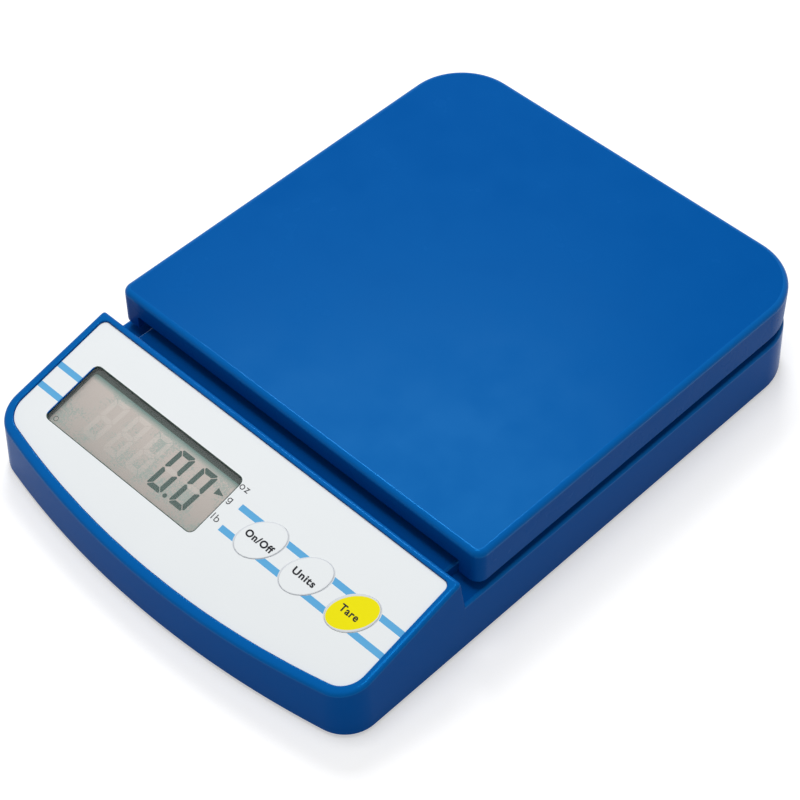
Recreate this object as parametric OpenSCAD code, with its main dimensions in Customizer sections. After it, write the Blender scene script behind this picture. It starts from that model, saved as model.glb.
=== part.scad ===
// Compact electronic balance: moulded case with a sloping console, and a square weighing pan
// that rests on a bending-beam load cell. Millimetres, +Z up, +Y to the rear, the origin on the
// surface that it stands on, under the middle of the case.

/* [Case] */
// Width of the case across its bottom edge
case_w = 147; // [144:1:152]
// Length of the case from the middle of its bowed front to its rear
case_l = 206.4; // [205:0.2:210]
// Radius of the bowed front in plan
bow_r = 296; // [250:1:400]
// Radius of the two front corners in plan
front_r = 11; // [9:1:14]
// Radius of the two rear corners in plan
rear_r = 20; // [16:1:24]
// Inward lean of the outer walls, in mm per mm of height
draft = 0.036; // [0.03:0.002:0.045]
// Thickness of the moulded walls
wall = 2.1; // [2:0.05:2.3]
// Height of the ledge round the pan above the bottom edge
ledge_h = 17.4; // [17.2:0.1:17.8]
// Height of the raised deck under the pan above the bottom edge
deck_h = 21.2; // [21:0.1:21.4]
// Width of the raised deck
deck_w = 126; // [124:1:130]
// How far the case stands above the surface on its feet
foot_h = 1.5; // [1:0.1:2]

/* [Console] */
// Depth of the console from the middle of the front to its rear edge
console_l = 52.7; // [52:0.1:54]
// Height of the console's rear edge above the bottom edge
console_h = 28.9; // [28.5:0.1:29.5]
// Slope of the front panel in degrees
slope = 14.7; // [14:0.1:15]
// Rounding of the console's upper edges
rim_r = 1.2; // [0.8:0.1:1.4]
// Distance from the outline of the case to the overlay
rim_w = 3.5; // [3:0.1:4]
// Distance from the rear edge to the overlay, along the slope
rim_rear = 2.2; // [2:0.1:3]
// Depth of the overlay's face below the rim
overlay_depth = 0.7; // [0.5:0.05:0.8]
// Thickness of the overlay
overlay_t = 0.25; // [0.2:0.05:0.3]

/* [Display and keys] */
// Width of the display window
window_w = 62.3; // [60:0.1:63]
// Height of the display window along the slope
window_l = 21.5; // [20:0.1:22]
// Distance of the window's middle from the middle of the panel
window_x = -29.2; // [-30:0.1:-29]
// Distance of the window's middle from the rear edge, along the slope
window_v = 25; // [24.5:0.1:25.5]
// Half length of an oval key
key_a = 7.7; // [7:0.1:8]
// Half width of an oval key
key_b = 5.6; // [5:0.1:6]
// Turn of the ovals in degrees
key_turn = 47; // [40:1:50]
// Place of the first key to the right of the middle
key_x = 19.3; // [19:0.1:20]
// Distance between two keys
key_pitch = 17.8; // [17.5:0.1:18]
// Distance of the keys from the rear edge, along the slope
key_v = 24.8; // [24:0.1:25.5]

/* [Pan] */
// Width of the pan
pan_w = 145; // [143:1:146]
// Length of the pan
pan_l = 146.7; // [145:0.1:147]
// Height of the weighing surface above the case's bottom edge
pan_h = 33.3; // [33:0.1:34]
// Depth of the skirt at the sides and the rear
skirt_h = 12.15; // [11:0.05:12.2]
// Depth of the skirt at the front, between its two corner tabs
front_skirt_h = 7.35; // [7:0.05:8]
// Width of the tabs at the two front corners
tab_w = 7.2; // [6:0.1:8]
// Gap between the console's rear edge and the pan
pan_gap = 6.7; // [6.5:0.1:7]
// Rounding of the pan's upper edge
pan_edge_r = 2.5; // [2:0.1:3]
// Radius of the pan's front corners in plan
pan_front_r = 3.5; // [3:0.5:5]
// Thickness of the pan
pan_t = 2.2; // [2:0.1:2.3]

/* [Load cell and battery] */
// Length of the load cell
cell_l = 80; // [76:1:84]
// Width and height of the load cell
cell_w = 12.7; // [12:0.1:12.7]
// Distance between the two screws at each end of the load cell
cell_pitch = 15; // [14:1:15]
// Radius of one AA cell
aa_r = 7.15; // [7:0.05:7.2]
// Length of one AA cell with its button
aa_l = 50.5; // [50:0.1:50.5]
// Distance between the axes of two neighbouring cells
aa_pitch = 15; // [14.8:0.1:15.2]

/* [Hidden] */
thin = 0.02;
fillet_steps = [0:22.5:90];
$fn = 48;

front_y = -case_l / 2;
rear_y = case_l / 2;
floor_t = 2.2;
floor_top = foot_h + floor_t;
ledge_z = foot_h + ledge_h;
deck_z = foot_h + deck_h;
console_y = front_y + console_l;
console_z = foot_h + console_h;
panel_rise = tan(slope);
base_front_y = console_y - 19;
deck_rear_y = rear_y - 10;
deck_r = 10;
case_wall_foot = 2.6;
floor_gap = 0.25;

// The printed circuit board and what stands on it, measured down from the rim of the console
board_w = 9.5;
board_t = 1.6;
panel_inside = 2.9;
lens_t = 1;
lens_edge = 1.5;
window_r = 1.8;
gasket_t = 0.4;
key_gap = 0.15;
key_flange = 1.1;
key_flange_t = 1;
key_proud = 0.25;
key_travel = 0.4;
plunger_r = 1.78;
plunger_top = 5.25;
switch_size = 6;
switch_h = 3.4;
plunger_end = 7.1;
lcd_top = 3.05;
lcd_t = 2.6;
lcd_l = 26;
lcd_ledge = 2.6;
connector_v = 11.6;
connector_l = 2;
boss_r = 2.3;
board_holes = [[-52, -8.4], [-10, -8.4], [61.5, -8.6], [61.5, -37], [10.5, -37]];
board_screw_r = 1.1;

pan_y = console_y + pan_gap;
pan_z = foot_h + pan_h;
pan_mid_y = pan_y + pan_l / 2;
pan_rear_r = rear_r;
skirt_z = pan_z - skirt_h;
pan_under = pan_z - pan_t;
pan_rib_h = 2.5;
pan_rib_t = 1.2;
// Ribs under the pan: distance from its middle and length
pan_ribs = [[23, 136], [62, 124]];

cell_z = floor_top + 3;
cell_top = cell_z + cell_w;
cell_hole_r = 2;
cell_hole_x = cell_l / 2 - 5;
spacer_lower_t = 1.5;
spacer_upper_t = 2;
carrier_w = 112;
carrier_z = 24;
carrier_t = 2.5;
carrier_rib_h = 2;
carrier_rib_t = 1.5;
// Ribs of the carrier: distance from its middle, length and turn
carrier_ribs = [[53, 88, 0], [53, 88, 90], [12, 104, 90], [8, 104, 0]];
peg_x = 46;
peg_r = 3;
peg_h = 5;
cushion_t = 1;
carrier_top = carrier_z + carrier_t;

case_screw_places = [[48, -91.6], [56, -40], [30, 85]];
case_screw_r = 1.5;
tower_r = 4.4;
tower_top = 8;
screw_seat = 5.5;
foot_places = [[60, -80], [60, 78]];
foot_r = 7;

bay_y = -13;
bay_in_l = 59;
bay_in_w = 3 * aa_pitch + 1;
bay_wall = 1.5;
bay_top = 20.3;
door_t = 1.8;
door_l = 63;
door_w = 49.5;
door_gap = 0.3;
door_y = bay_y;
door_seat = foot_h + 2;
hinge_y = door_y - door_w / 2 - door_gap;
aa_z = floor_top + 7.7;
inlet_x = 44;
inlet_z = 9.5;
inlet_r = 3.15;

socket_places = [-38, -24, 30];
socket_v = -15;
lead_r = 0.75;

// Routes of the inside leads, chosen by hand, each point in the frame of the whole part
cell_route = [
  [-41.5, 29, 13], [-46, 22, 9], [-46, 5, 6.5], [-44, -25, 6.5], [-41, -42, 8], [-38, -50, 14],
  [-38, -55, 14.3]
];
front_lead = [[-32, -28, 11], [-37, -33, 7], [-34, -42, 8], [-27, -49.5, 13.5], [-25.4, -55, 14.3]];
rear_lead = [
  [32, 2, 11], [36, -8, 7], [35, -33, 6.5], [20, -42, 7], [-10, -43, 8.5], [-21, -49, 13],
  [-22.8, -55, 14.3]
];
inlet_route = [
  [43, 86.5, 9], [43, 76, 7], [46, 50, 7], [46, 0, 7], [44, -26, 7], [38, -42, 9], [31.5, -50, 14],
  [29, -55, 14.3]
];

// Points of an arc about [cx, cy]
function arc(cx, cy, r, from, to, n) =
  [for (i = [0:n]) let (a = from + (to - from) * i / n) [cx + r * cos(a), cy + r * sin(a)]];

// Where a front corner's centre lies, the same for every inset
corner_x = case_w / 2 - front_r;
bow_y = front_y + bow_r;
corner_y = bow_y - sqrt(pow(bow_r - front_r, 2) - pow(corner_x, 2));
bow_angle = asin(corner_x / (bow_r - front_r));

// Left corner, bow and right corner of the front, moved inward by d
function front_points(d) = concat(
  arc(-corner_x, corner_y, front_r - d, 180, 270 - bow_angle, 8),
  arc(0, bow_y, bow_r - d, 270 - bow_angle, 270 + bow_angle, 22),
  arc(corner_x, corner_y, front_r - d, 270 + bow_angle, 360, 8)
);

// Two rear corners of radius r on a width of 2 * hw that ends at y
function rear_points(hw, y, r) = concat(
  arc(hw - r, y - r, r, 0, 90, 8),
  arc(r - hw, y - r, r, 90, 180, 8)
);

function case_outline(d) = concat(
  front_points(d), rear_points(case_w / 2 - d, rear_y - d, rear_r - d)
);
function console_outline(d, y) = concat(front_points(d), rear_points(case_w / 2 - d, y, 2));
function base_outline(d, y) = concat(
  [[d - case_w / 2, y], [case_w / 2 - d, y]],
  rear_points(case_w / 2 - d, rear_y - d, rear_r - d)
);
function deck_outline(d, y) = concat(
  [[d - deck_w / 2, y], [deck_w / 2 - d, y]],
  rear_points(deck_w / 2 - d, deck_rear_y - d, deck_r - d)
);
function pan_outline(d) = concat(
  arc(pan_front_r - pan_w / 2, pan_y + pan_front_r, pan_front_r - d, 180, 270, 6),
  arc(pan_w / 2 - pan_front_r, pan_y + pan_front_r, pan_front_r - d, 270, 360, 6),
  rear_points(pan_w / 2 - d, pan_y + pan_l - d, pan_rear_r - d)
);

// Rounded rectangle about the origin
function plate(w, l, r) = concat(
  arc(w / 2 - r, l / 2 - r, r, 0, 90, 6), arc(r - w / 2, l / 2 - r, r, 90, 180, 6),
  arc(r - w / 2, r - l / 2, r, 180, 270, 6), arc(w / 2 - r, r - l / 2, r, 270, 360, 6)
);

// Turned oval about the origin, grown by d
function oval(d) = [for (i = [0:47]) let (
  a = 7.5 * i, x = (key_a + d) * cos(a), y = (key_b + d) * sin(a)
) [x * cos(key_turn) - y * sin(key_turn), x * sin(key_turn) + y * cos(key_turn)]];

// Puts its children in the panel's frame: x to the right, y up the slope, z out of the panel
module on_panel() {
  translate([0, console_y, console_z]) rotate([slope, 0, 0]) children();
}

// An upright prism from the panel's depth `low` to its depth `high`, both below the rim
module panel_prism(points, low, high) {
  translate([0, 0, -low]) linear_extrude(low - high) polygon(points);
}

function key_place(i) = [key_x + key_pitch * i, -key_v, 0];

// A thin sheared slice of the console, d inside its outline and w below the sloping top
module slope_slice(d, w) {
  multmatrix([[1, 0, 0, 0], [0, 1, 0, 0], [0, panel_rise, 1, console_z - panel_rise * console_y - w]])
    linear_extrude(thin)
      polygon(console_outline(draft * console_h * 0.8 + d, console_y - d));
}

// Places at x and at -x for each entry
module both_sides(places) {
  for (p = places, s = [-1, 1]) translate([s * p.x, p.y, 0]) children();
}

// Unit vector
function unit(v) = v / norm(v);

// Smooth curve through hand-placed points, with n steps between two of them
function smooth(p, n) = concat(
  [for (i = [0:len(p) - 2], k = [0:n - 1]) let (
    a = p[max(i - 1, 0)], b = p[i], c = p[i + 1], d = p[min(i + 2, len(p) - 1)], t = k / n
  ) (2 * b + (c - a) * t + (2 * a - 5 * b + 4 * c - d) * t * t
    + (3 * b - a - 3 * c + d) * t * t * t) / 2],
  [p[len(p) - 1]]
);

// Round wire along a path, with its rings squared to `up`
module wire(path, r, up, sides) {
  last = len(path) - 1;
  rings = [for (i = [0:last]) let (
    t = unit(path[min(i + 1, last)] - path[max(i - 1, 0)]),
    side = unit(cross(t, up)), top = cross(side, t)
  ) [for (k = [0:sides - 1]) path[i] + r * (cos(360 * k / sides) * side + sin(360 * k / sides) * top)]];
  points = [for (ring = rings, q = ring) q];
  skin = [for (i = [0:last - 1], k = [0:sides - 1]) let (
    a = i * sides + k, b = i * sides + (k + 1) % sides
  ) each [[a, b, b + sides], [a, b + sides, a + sides]]];
  ends = [
    [for (k = [sides - 1:-1:0]) k],
    [for (k = [0:sides - 1]) last * sides + k]
  ];
  polyhedron(points, concat(skin, ends));
}

// Pan head screw that points up from z = 0, with its head below
module screw(r, l, head_r, head_h) {
  cylinder(r = r, h = l);
  translate([0, 0, -head_h]) difference() {
    cylinder(r1 = head_r * 0.85, r2 = head_r, h = head_h);
    for (a = [0, 90]) rotate(a) translate([-head_r * 0.6, -0.35, -1]) cube([head_r * 1.2, 0.7, 1.7]);
  }
}

module console_block() {
  hull() {
    translate([0, 0, foot_h]) linear_extrude(thin) polygon(console_outline(-0.03, console_y + 4.7));
    for (a = fillet_steps) slope_slice(rim_r * (1 - cos(a)), rim_r * (1 - sin(a)) + thin);
  }
}

module base_block() {
  hull() {
    translate([0, 0, foot_h]) linear_extrude(thin) polygon(base_outline(0, base_front_y));
    for (a = fillet_steps) translate([0, 0, ledge_z - (1 - sin(a)) - thin])
      linear_extrude(thin) polygon(base_outline(draft * ledge_h + 1 - cos(a), base_front_y));
  }
}

module deck_block() {
  hull() {
    translate([0, 0, ledge_z - 3]) linear_extrude(thin) polygon(deck_outline(0, console_y - 4));
    for (a = fillet_steps) translate([0, 0, deck_z - 0.8 * (1 - sin(a)) - thin])
      linear_extrude(thin) polygon(deck_outline(0.2 + 0.8 * (1 - cos(a)), console_y - 4));
  }
}

// Space inside the top case, less the bosses that its screws go into
module case_cavity() {
  difference() {
    union() {
      translate([0, 0, 0]) linear_extrude(ledge_z - wall)
        polygon(base_outline(case_wall_foot, base_front_y + 1));
      translate([0, 0, ledge_z - 5]) linear_extrude(deck_h - ledge_h + 5 - wall)
        polygon(deck_outline(wall, base_front_y + 2));
      intersection() {
        linear_extrude(2 * console_z) polygon(console_outline(case_wall_foot + 0.2, console_y - 2.4));
        on_panel() translate([-case_w, -case_l, -100 - panel_inside]) cube([2 * case_w, 2 * case_l, 100]);
      }
    }
    both_sides(case_screw_places) translate([0, 0, tower_top + 0.1]) cylinder(r = 3.4, h = 30);
    on_panel() for (p = board_holes) translate([p.x, p.y, -board_w]) cylinder(r = boss_r, h = 20);
  }
}

module top_case() {
  color("#0557a6") difference() {
    union() {
      console_block();
      base_block();
      deck_block();
    }
    case_cavity();
    both_sides(case_screw_places) cylinder(r = case_screw_r, h = 15);
    on_panel() {
      panel_prism(overlay_shape(0.15), overlay_depth + overlay_t, -5);
      translate([window_x, -window_v, 0]) {
        panel_prism(plate(window_w + 2 * lens_edge + 0.2, window_l + 2 * lens_edge + 0.2, 2),
          overlay_depth + overlay_t + lens_t, -1);
        panel_prism(gasket_shape(gasket_t + 0.1), 6, -1);
      }
      for (i = [0:2]) translate(key_place(i)) panel_prism(oval(key_gap), 6, -1);
      for (p = board_holes) translate([p.x, p.y, -board_w - 1]) cylinder(r = board_screw_r, h = 6.5);
    }
    translate([28.5, pan_mid_y, ledge_z - 5]) linear_extrude(10) polygon(plate(32, 20, 3));
    translate([inlet_x, rear_y + 1, inlet_z]) rotate([90, 0, 0]) cylinder(r = 4.3, h = 8);
  }
}

// Outline of the overlay in the panel's frame, grown by d
function overlay_shape(d) = concat(
  [for (p = front_points(rim_w - d)) [p.x, (p.y - console_y) / cos(slope)]],
  rear_points(case_w / 2 - rim_w + d, d - rim_rear, 2)
);

module overlay() {
  color("#e8ebee") on_panel() difference() {
    panel_prism(overlay_shape(0), overlay_depth + overlay_t, overlay_depth);
    translate([window_x, -window_v, 0]) panel_prism(gasket_shape(0), 2, -1);
    for (i = [0:2]) translate(key_place(i)) panel_prism(oval(key_gap), 2, -1);
  }
}

module display_window() {
  color("#9fb3ae", 0.4) on_panel() translate([window_x, -window_v, 0])
    panel_prism(plate(window_w + 2 * lens_edge, window_l + 2 * lens_edge, 2),
      overlay_depth + overlay_t + lens_t, overlay_depth + overlay_t);
}

// Outline of the window, grown by d
function gasket_shape(d) = plate(window_w + 2 * d, window_l + 2 * d, window_r + d);

// Foam ring that seals the window's tunnel between the lens and the display glass
module display_gasket() {
  color("#3c4a47") on_panel() translate([window_x, -window_v, 0]) difference() {
    panel_prism(gasket_shape(gasket_t), lcd_top, overlay_depth + overlay_t + lens_t);
    panel_prism(gasket_shape(0), 2 * lcd_top, 0);
  }
}

module lcd_glass() {
  color("#b9aaa5") on_panel() translate([window_x, -window_v, 0]) {
    panel_prism(plate(67, lcd_l, 0.5), lcd_top + lcd_t / 2, lcd_top);
    translate([0, lcd_ledge / 2, 0])
      panel_prism(plate(67, lcd_l - lcd_ledge, 0.5), lcd_top + lcd_t, lcd_top + lcd_t / 2);
  }
}

module lcd_frame() {
  color("#e9e9e4") on_panel() translate([window_x, -window_v, 0]) difference() {
    panel_prism(plate(70, lcd_l + 2.2, 1), board_w, lcd_top + 0.3);
    panel_prism(plate(67.3, lcd_l + 0.3, 0.5), lcd_top + lcd_t + 0.1, 0);
    translate([0, 0.6, 0]) panel_prism(plate(62, 19.8, 0.5), board_w + 1, 0);
    translate([0, -connector_v, 0]) panel_prism(plate(62, connector_l + 0.2, 0.4), board_w + 1, 0);
  }
}

module lcd_connector() {
  color("#2b2b2b") on_panel() translate([window_x, -window_v - connector_v, 0])
    panel_prism(plate(61, connector_l, 0.2), board_w, lcd_top + lcd_t / 2);
}

module main_board() {
  color("#1d6b3c") on_panel() difference() {
    translate([-67, -40.4, -board_w - board_t]) cube([133, 34.2, board_t]);
    for (p = board_holes) translate([p.x, p.y, -20]) cylinder(r = 1.3, h = 20);
  }
}

module board_screws() {
  color("silver") on_panel() for (p = board_holes) translate([p.x, p.y, -board_w - board_t])
    screw(1.05, 5.5, 2.1, 1.4);
}

// A chip of w by l and h high under the board, with legs along its two long sides
module chip(x, y, w, l, h, legs) {
  translate([x, y, -board_w - board_t]) {
    translate([-w / 2, -l / 2, -h]) cube([w, l, h - 0.15]);
    for (i = [0:legs - 1], s = [-1, 1])
      translate([w * ((i + 0.5) / legs - 0.5) - 0.2, s * (l / 2 + 0.5) - 0.6, -0.5]) cube([0.4, 1.2, 0.5]);
  }
}

module processor() {
  color("#1c1c1e") on_panel() chip(-22, -24, 14, 10, 2, 12);
}

module converter_chip() {
  color("#1c1c1e") on_panel() chip(38, -16, 8, 4, 1.6, 8);
}

module board_parts() {
  on_panel() {
    color("#3a3f8f") for (p = [[-45, -14], [50, -30]]) translate([p.x, p.y, -board_w - board_t - 4])
      cylinder(r = 2, h = 4);
    color("silver") translate([-5, -30, -board_w - board_t - 3.5])
      linear_extrude(3.5) polygon(plate(10, 4, 1.9));
    color("#c8a060") for (i = [0:5]) translate([14 + 5 * i, -34, -board_w - board_t - 0.9])
      cube([2, 1.2, 0.9]);
  }
}

module at_sockets() {
  on_panel() for (x = socket_places) translate([x, socket_v, -board_w - board_t]) children();
}

module cable_sockets() {
  color("#f0efe8") at_sockets() difference() {
    translate([-4, 0, -5]) cube([8, 4.5, 5]);
    translate([-3, 1, -6]) cube([6, 4, 4.5]);
  }
}

module cable_plugs() {
  color("#fbfaf4") at_sockets() translate([-2.9, 1.1, -4.8]) cube([5.8, 5, 3.2]);
}

module tact_switch(i) {
  color("#333333") on_panel() translate(key_place(i)) difference() {
    translate([-switch_size / 2, -switch_size / 2, -board_w]) cube([switch_size, switch_size, switch_h]);
    translate([0, 0, -plunger_end - key_travel - 0.2]) cylinder(r = plunger_r + 0.08, h = 5);
  }
}

module tact_plunger(i) {
  color("#1a1a1a") on_panel() translate(key_place(i)) translate([0, 0, -plunger_end])
    cylinder(r = plunger_r, h = plunger_end - plunger_top);
}

module key(i, tint) {
  top = overlay_depth - key_proud;
  flange = panel_inside + 0.1;
  color(tint) on_panel() translate(key_place(i)) {
    panel_prism(oval(-0.35), top + 0.2, top);
    panel_prism(oval(0), flange, top + 0.2);
    panel_prism(oval(key_flange), flange + key_flange_t, flange);
    translate([0, 0, -plunger_top]) cylinder(r = 2, h = plunger_top - flange - key_flange_t);
  }
}

module switch_on_off() { tact_switch(0); }
module switch_units() { tact_switch(1); }
module switch_tare() { tact_switch(2); }
module plunger_on_off() { tact_plunger(0); }
module plunger_units() { tact_plunger(1); }
module plunger_tare() { tact_plunger(2); }
module key_on_off() { key(0, "#eceff1"); }
module key_units() { key(1, "#eceff1"); }
module key_tare() { key(2, "#f1e71f"); }

module load_cell() {
  neck_x = 7.5;
  color("#c9ccd0") translate([0, pan_mid_y, 0]) difference() {
    translate([-cell_l / 2, -cell_w / 2, cell_z]) cube([cell_l, cell_w, cell_w]);
    for (s = [-1, 1]) translate([s * neck_x, cell_w, cell_z + cell_w / 2]) rotate([90, 0, 0])
      cylinder(r = 5, h = 2 * cell_w);
    translate([-neck_x, -cell_w, cell_z + cell_w / 2 - 1.5]) cube([2 * neck_x, 2 * cell_w, 3]);
    for (s = [-1, 1], k = [0, 1]) translate([s * (cell_hole_x - k * cell_pitch), 0, cell_z - 1])
      cylinder(r = cell_hole_r, h = cell_w + 2);
  }
}

module gauge_covers() {
  color("#f4f4f2") translate([0, pan_mid_y, 0]) for (z = [cell_z - 0.8, cell_top])
    translate([-13, -cell_w / 2 + 0.5, z]) cube([26, cell_w - 1, 0.8]);
}

module spacer(s, z, t) {
  middle = s * (cell_hole_x - cell_pitch / 2);
  translate([0, pan_mid_y, z]) difference() {
    translate([middle, 0, 0]) linear_extrude(t) polygon(plate(cell_pitch + 9, cell_w, 1));
    for (k = [0, 1])
      translate([s * (cell_hole_x - k * cell_pitch), 0, -1]) cylinder(r = cell_hole_r + 0.2, h = t + 2);
  }
}

module lower_spacer() {
  color("#9a9da1") spacer(-1, cell_z - spacer_lower_t, spacer_lower_t);
}

module upper_spacer() {
  color("#9a9da1") spacer(1, cell_top, spacer_upper_t);
}

module base_screws() {
  color("silver") for (k = [0, 1])
    translate([-cell_hole_x + k * cell_pitch, pan_mid_y, floor_top])
      screw(cell_hole_r - 0.05, 12, 3.4, 1.9);
}

module carrier_screws() {
  color("silver") for (k = [0, 1])
    translate([cell_hole_x - k * cell_pitch, pan_mid_y, carrier_z + 0.4]) rotate([180, 0, 0])
      screw(cell_hole_r - 0.05, 13, 3.4, 1.9);
}

module overload_stop() {
  color("#55585c") translate([28, pan_mid_y, foot_h + 0.5]) difference() {
    cylinder(r = 1.95, h = cell_z - foot_h - 1);
    translate([0, 0, -1]) cylinder(r = 1.1, h = 2.5, $fn = 6);
  }
}

module load_cell_cable() {
  color("#c8c8c4") wire(smooth(cell_route, 6), 1.3, [0, 0, 1], 8);
}

module battery_leads() {
  color("#161616") wire(smooth(front_lead, 5), lead_r, [0, 0, 1], 8);
  color("#b01c1c") wire(smooth(rear_lead, 5), lead_r, [0, 0, 1], 8);
}

module inlet_leads() {
  color("#b01c1c") wire(smooth(inlet_route, 5), lead_r, [0, 0, 1], 8);
  color("#161616") translate([2.2, 0, 0]) wire(smooth(inlet_route, 5), lead_r, [0, 0, 1], 8);
}

// Two ribs of one length, at d and at -d from the middle, along y or, turned by 90, along x
module rib_pair(d, length, t, h, turn) {
  rotate(turn) for (s = [-1, 1]) translate([s * d - t / 2, -length / 2, 0]) cube([t, length, h]);
}

module pan_carrier() {
  color("#2a5fa5") difference() {
    union() {
      translate([0, pan_mid_y, carrier_z]) linear_extrude(carrier_t)
        polygon(plate(carrier_w, carrier_w, 8));
      translate([27.5, pan_mid_y, cell_top + spacer_upper_t])
        linear_extrude(carrier_z - cell_top - spacer_upper_t + 1) polygon(plate(26, 16, 2));
      for (x = [-peg_x, peg_x], y = [-peg_x, peg_x]) translate([x, pan_mid_y + y, carrier_z])
        cylinder(r = peg_r, h = carrier_t + peg_h);
      translate([0, pan_mid_y, carrier_z]) for (rib = carrier_ribs)
        rib_pair(rib[0], rib[1], carrier_rib_t, carrier_t + carrier_rib_h, rib[2]);
    }
    for (k = [0, 1]) translate([cell_hole_x - k * cell_pitch, pan_mid_y, 0]) {
      cylinder(r = cell_hole_r + 0.2, h = 40);
      translate([0, 0, carrier_z + 0.4]) cylinder(r = 3.9, h = 10);
    }
  }
}

module at_pegs() {
  for (x = [-peg_x, peg_x], y = [-peg_x, peg_x]) translate([x, pan_mid_y + y, 0]) children();
}

module pan_cushions() {
  color("#2d2d2f") at_pegs() translate([0, 0, carrier_top]) difference() {
    cylinder(r = 5.2, h = cushion_t);
    translate([0, 0, -1]) cylinder(r = peg_r + 0.1, h = cushion_t + 2);
  }
}

module pan() {
  inner = 2;
  socket_z = carrier_top + cushion_t;
  color("#0a5aab") difference() {
    union() {
      difference() {
        hull() {
          translate([0, 0, skirt_z]) linear_extrude(thin) polygon(pan_outline(0));
          for (a = fillet_steps) translate([0, 0, pan_z - pan_edge_r * (1 - sin(a)) - thin])
            linear_extrude(thin) polygon(pan_outline(pan_edge_r * (1 - cos(a))));
        }
        translate([0, 0, skirt_z - 1]) linear_extrude(pan_under - skirt_z + 1) polygon(pan_outline(inner));
        translate([tab_w - pan_w / 2, pan_y - 1, skirt_z - 1])
          cube([pan_w - 2 * tab_w, inner + 2, skirt_h - front_skirt_h + 1]);
      }
      at_pegs() translate([0, 0, socket_z]) cylinder(r = 5, h = pan_under - socket_z + 0.5);
      translate([0, pan_mid_y, pan_under - pan_rib_h]) for (rib = pan_ribs, turn = [0, 90])
        rib_pair(rib[0], rib[1], pan_rib_t, pan_rib_h + 0.5, turn);
    }
    at_pegs() translate([0, 0, socket_z - 1]) cylinder(r = peg_r + 0.3, h = pan_under - socket_z + 0.6);
  }
}

module foot(x, y) {
  color("#2b2c2e") translate([x, y, 0]) {
    cylinder(r1 = foot_r - 0.6, r2 = foot_r, h = 0.6);
    translate([0, 0, 0.6]) cylinder(r = foot_r, h = foot_h + 1.2 - 0.6);
  }
}

module foot_front_left() { foot(-foot_places[0].x, foot_places[0].y); }
module foot_front_right() { foot(foot_places[0].x, foot_places[0].y); }
module foot_rear_left() { foot(-foot_places[1].x, foot_places[1].y); }
module foot_rear_right() { foot(foot_places[1].x, foot_places[1].y); }

module case_screws() {
  color("silver") both_sides(case_screw_places) translate([0, 0, screw_seat]) screw(1.42, 8.5, 2.9, 2);
}

// Height of the battery bay's walls, its flange over the door's edge and the roof over the cells
module bay_walls() {
  translate([0, bay_y, door_seat]) linear_extrude(bay_top - door_seat)
    polygon(plate(bay_in_l + 2 * bay_wall, bay_in_w + 2 * bay_wall, 1.5));
  translate([0, bay_y, door_seat]) linear_extrude(1.5) polygon(plate(door_l + 5, door_w + 5, 2));
}

module bottom_case() {
  color("#1f4f94") difference() {
    union() {
      translate([0, 0, foot_h]) linear_extrude(floor_t) polygon(case_outline(case_wall_foot + floor_gap));
      translate([0, 0, foot_h]) linear_extrude(6) difference() {
        polygon(case_outline(case_wall_foot + floor_gap + 0.4));
        polygon(case_outline(case_wall_foot + floor_gap + 1.9));
      }
      both_sides(case_screw_places) translate([0, 0, foot_h]) cylinder(r = tower_r, h = tower_top - foot_h);
      bay_walls();
      translate([-cell_hole_x + cell_pitch / 2, pan_mid_y, foot_h])
        linear_extrude(cell_z - spacer_lower_t - foot_h) polygon(plate(cell_pitch + 12, cell_w + 4, 2));
      translate([28, pan_mid_y, foot_h]) cylinder(r = 4, h = 4);
      for (y = [50, 66]) translate([-52, y - 0.6, foot_h]) cube([104, 1.2, floor_t + 2]);
      for (s = [-1, 1]) {
        translate([s * 52 - 0.6, 16, foot_h]) cube([1.2, 50, floor_t + 2]);
        translate([inlet_x + s * 6 - 1, 88, foot_h]) cube([2, 10, 9]);
      }
    }
    translate([0, bay_y, 0]) linear_extrude(bay_top - bay_wall) polygon(plate(bay_in_l, bay_in_w, 0.5));
    translate([0, door_y, 0]) linear_extrude(door_seat)
      polygon(plate(door_l + 2 * door_gap, door_w + 2 * door_gap, 1.8));
    for (s = [-1, 1]) {
      translate([s * 16 - 5, hinge_y - 4, floor_top]) cube([10, 7.4, 4]);
      translate([s * 16 - 5, hinge_y + 0.1, foot_h]) cube([10, 3.3, 4]);
    }
    translate([-6, door_y + door_w / 2 - 3, 0]) cube([12, 4, 9]);
    translate([0, door_y + door_w / 2 + 2, foot_h - 1]) linear_extrude(1.9) polygon(plate(14, 8, 3));
    both_sides(case_screw_places) {
      cylinder(r = 1.7, h = 20);
      translate([0, 0, foot_h - 1]) cylinder(r = 3.2, h = screw_seat - foot_h + 1);
    }
    both_sides(foot_places) cylinder(r = foot_r + 0.2, h = foot_h + 1.2);
    translate([inlet_x - 4.8, rear_y - 12, floor_top]) cube([9.6, 12, 20]);
    for (k = [0, 1]) translate([-cell_hole_x + k * cell_pitch, pan_mid_y, 0]) {
      cylinder(r = cell_hole_r + 0.2, h = 20);
      cylinder(r = 3.8, h = floor_top);
    }
    translate([28, pan_mid_y, 0]) cylinder(r = 2, h = 20);
  }
}

module battery_door() {
  hook_top = floor_top + 1.4;
  color("#1f4f94") {
    translate([0, door_y, foot_h]) linear_extrude(door_t) polygon(plate(door_l, door_w, 1.5));
    for (s = [-1, 1]) {
      translate([s * 16 - 4, hinge_y + 0.3, foot_h + 0.5]) cube([8, 1.4, hook_top - foot_h - 0.5]);
      translate([s * 16 - 4, hinge_y - 2.6, floor_top + 0.2]) cube([8, 3.5, hook_top - floor_top - 0.2]);
    }
    translate([-5, door_y + door_w / 2 - 1.2, foot_h + 0.5]) cube([10, 1.2, 6]);
  }
}

function aa_y(i) = bay_y + aa_pitch * (i - 1);

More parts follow.
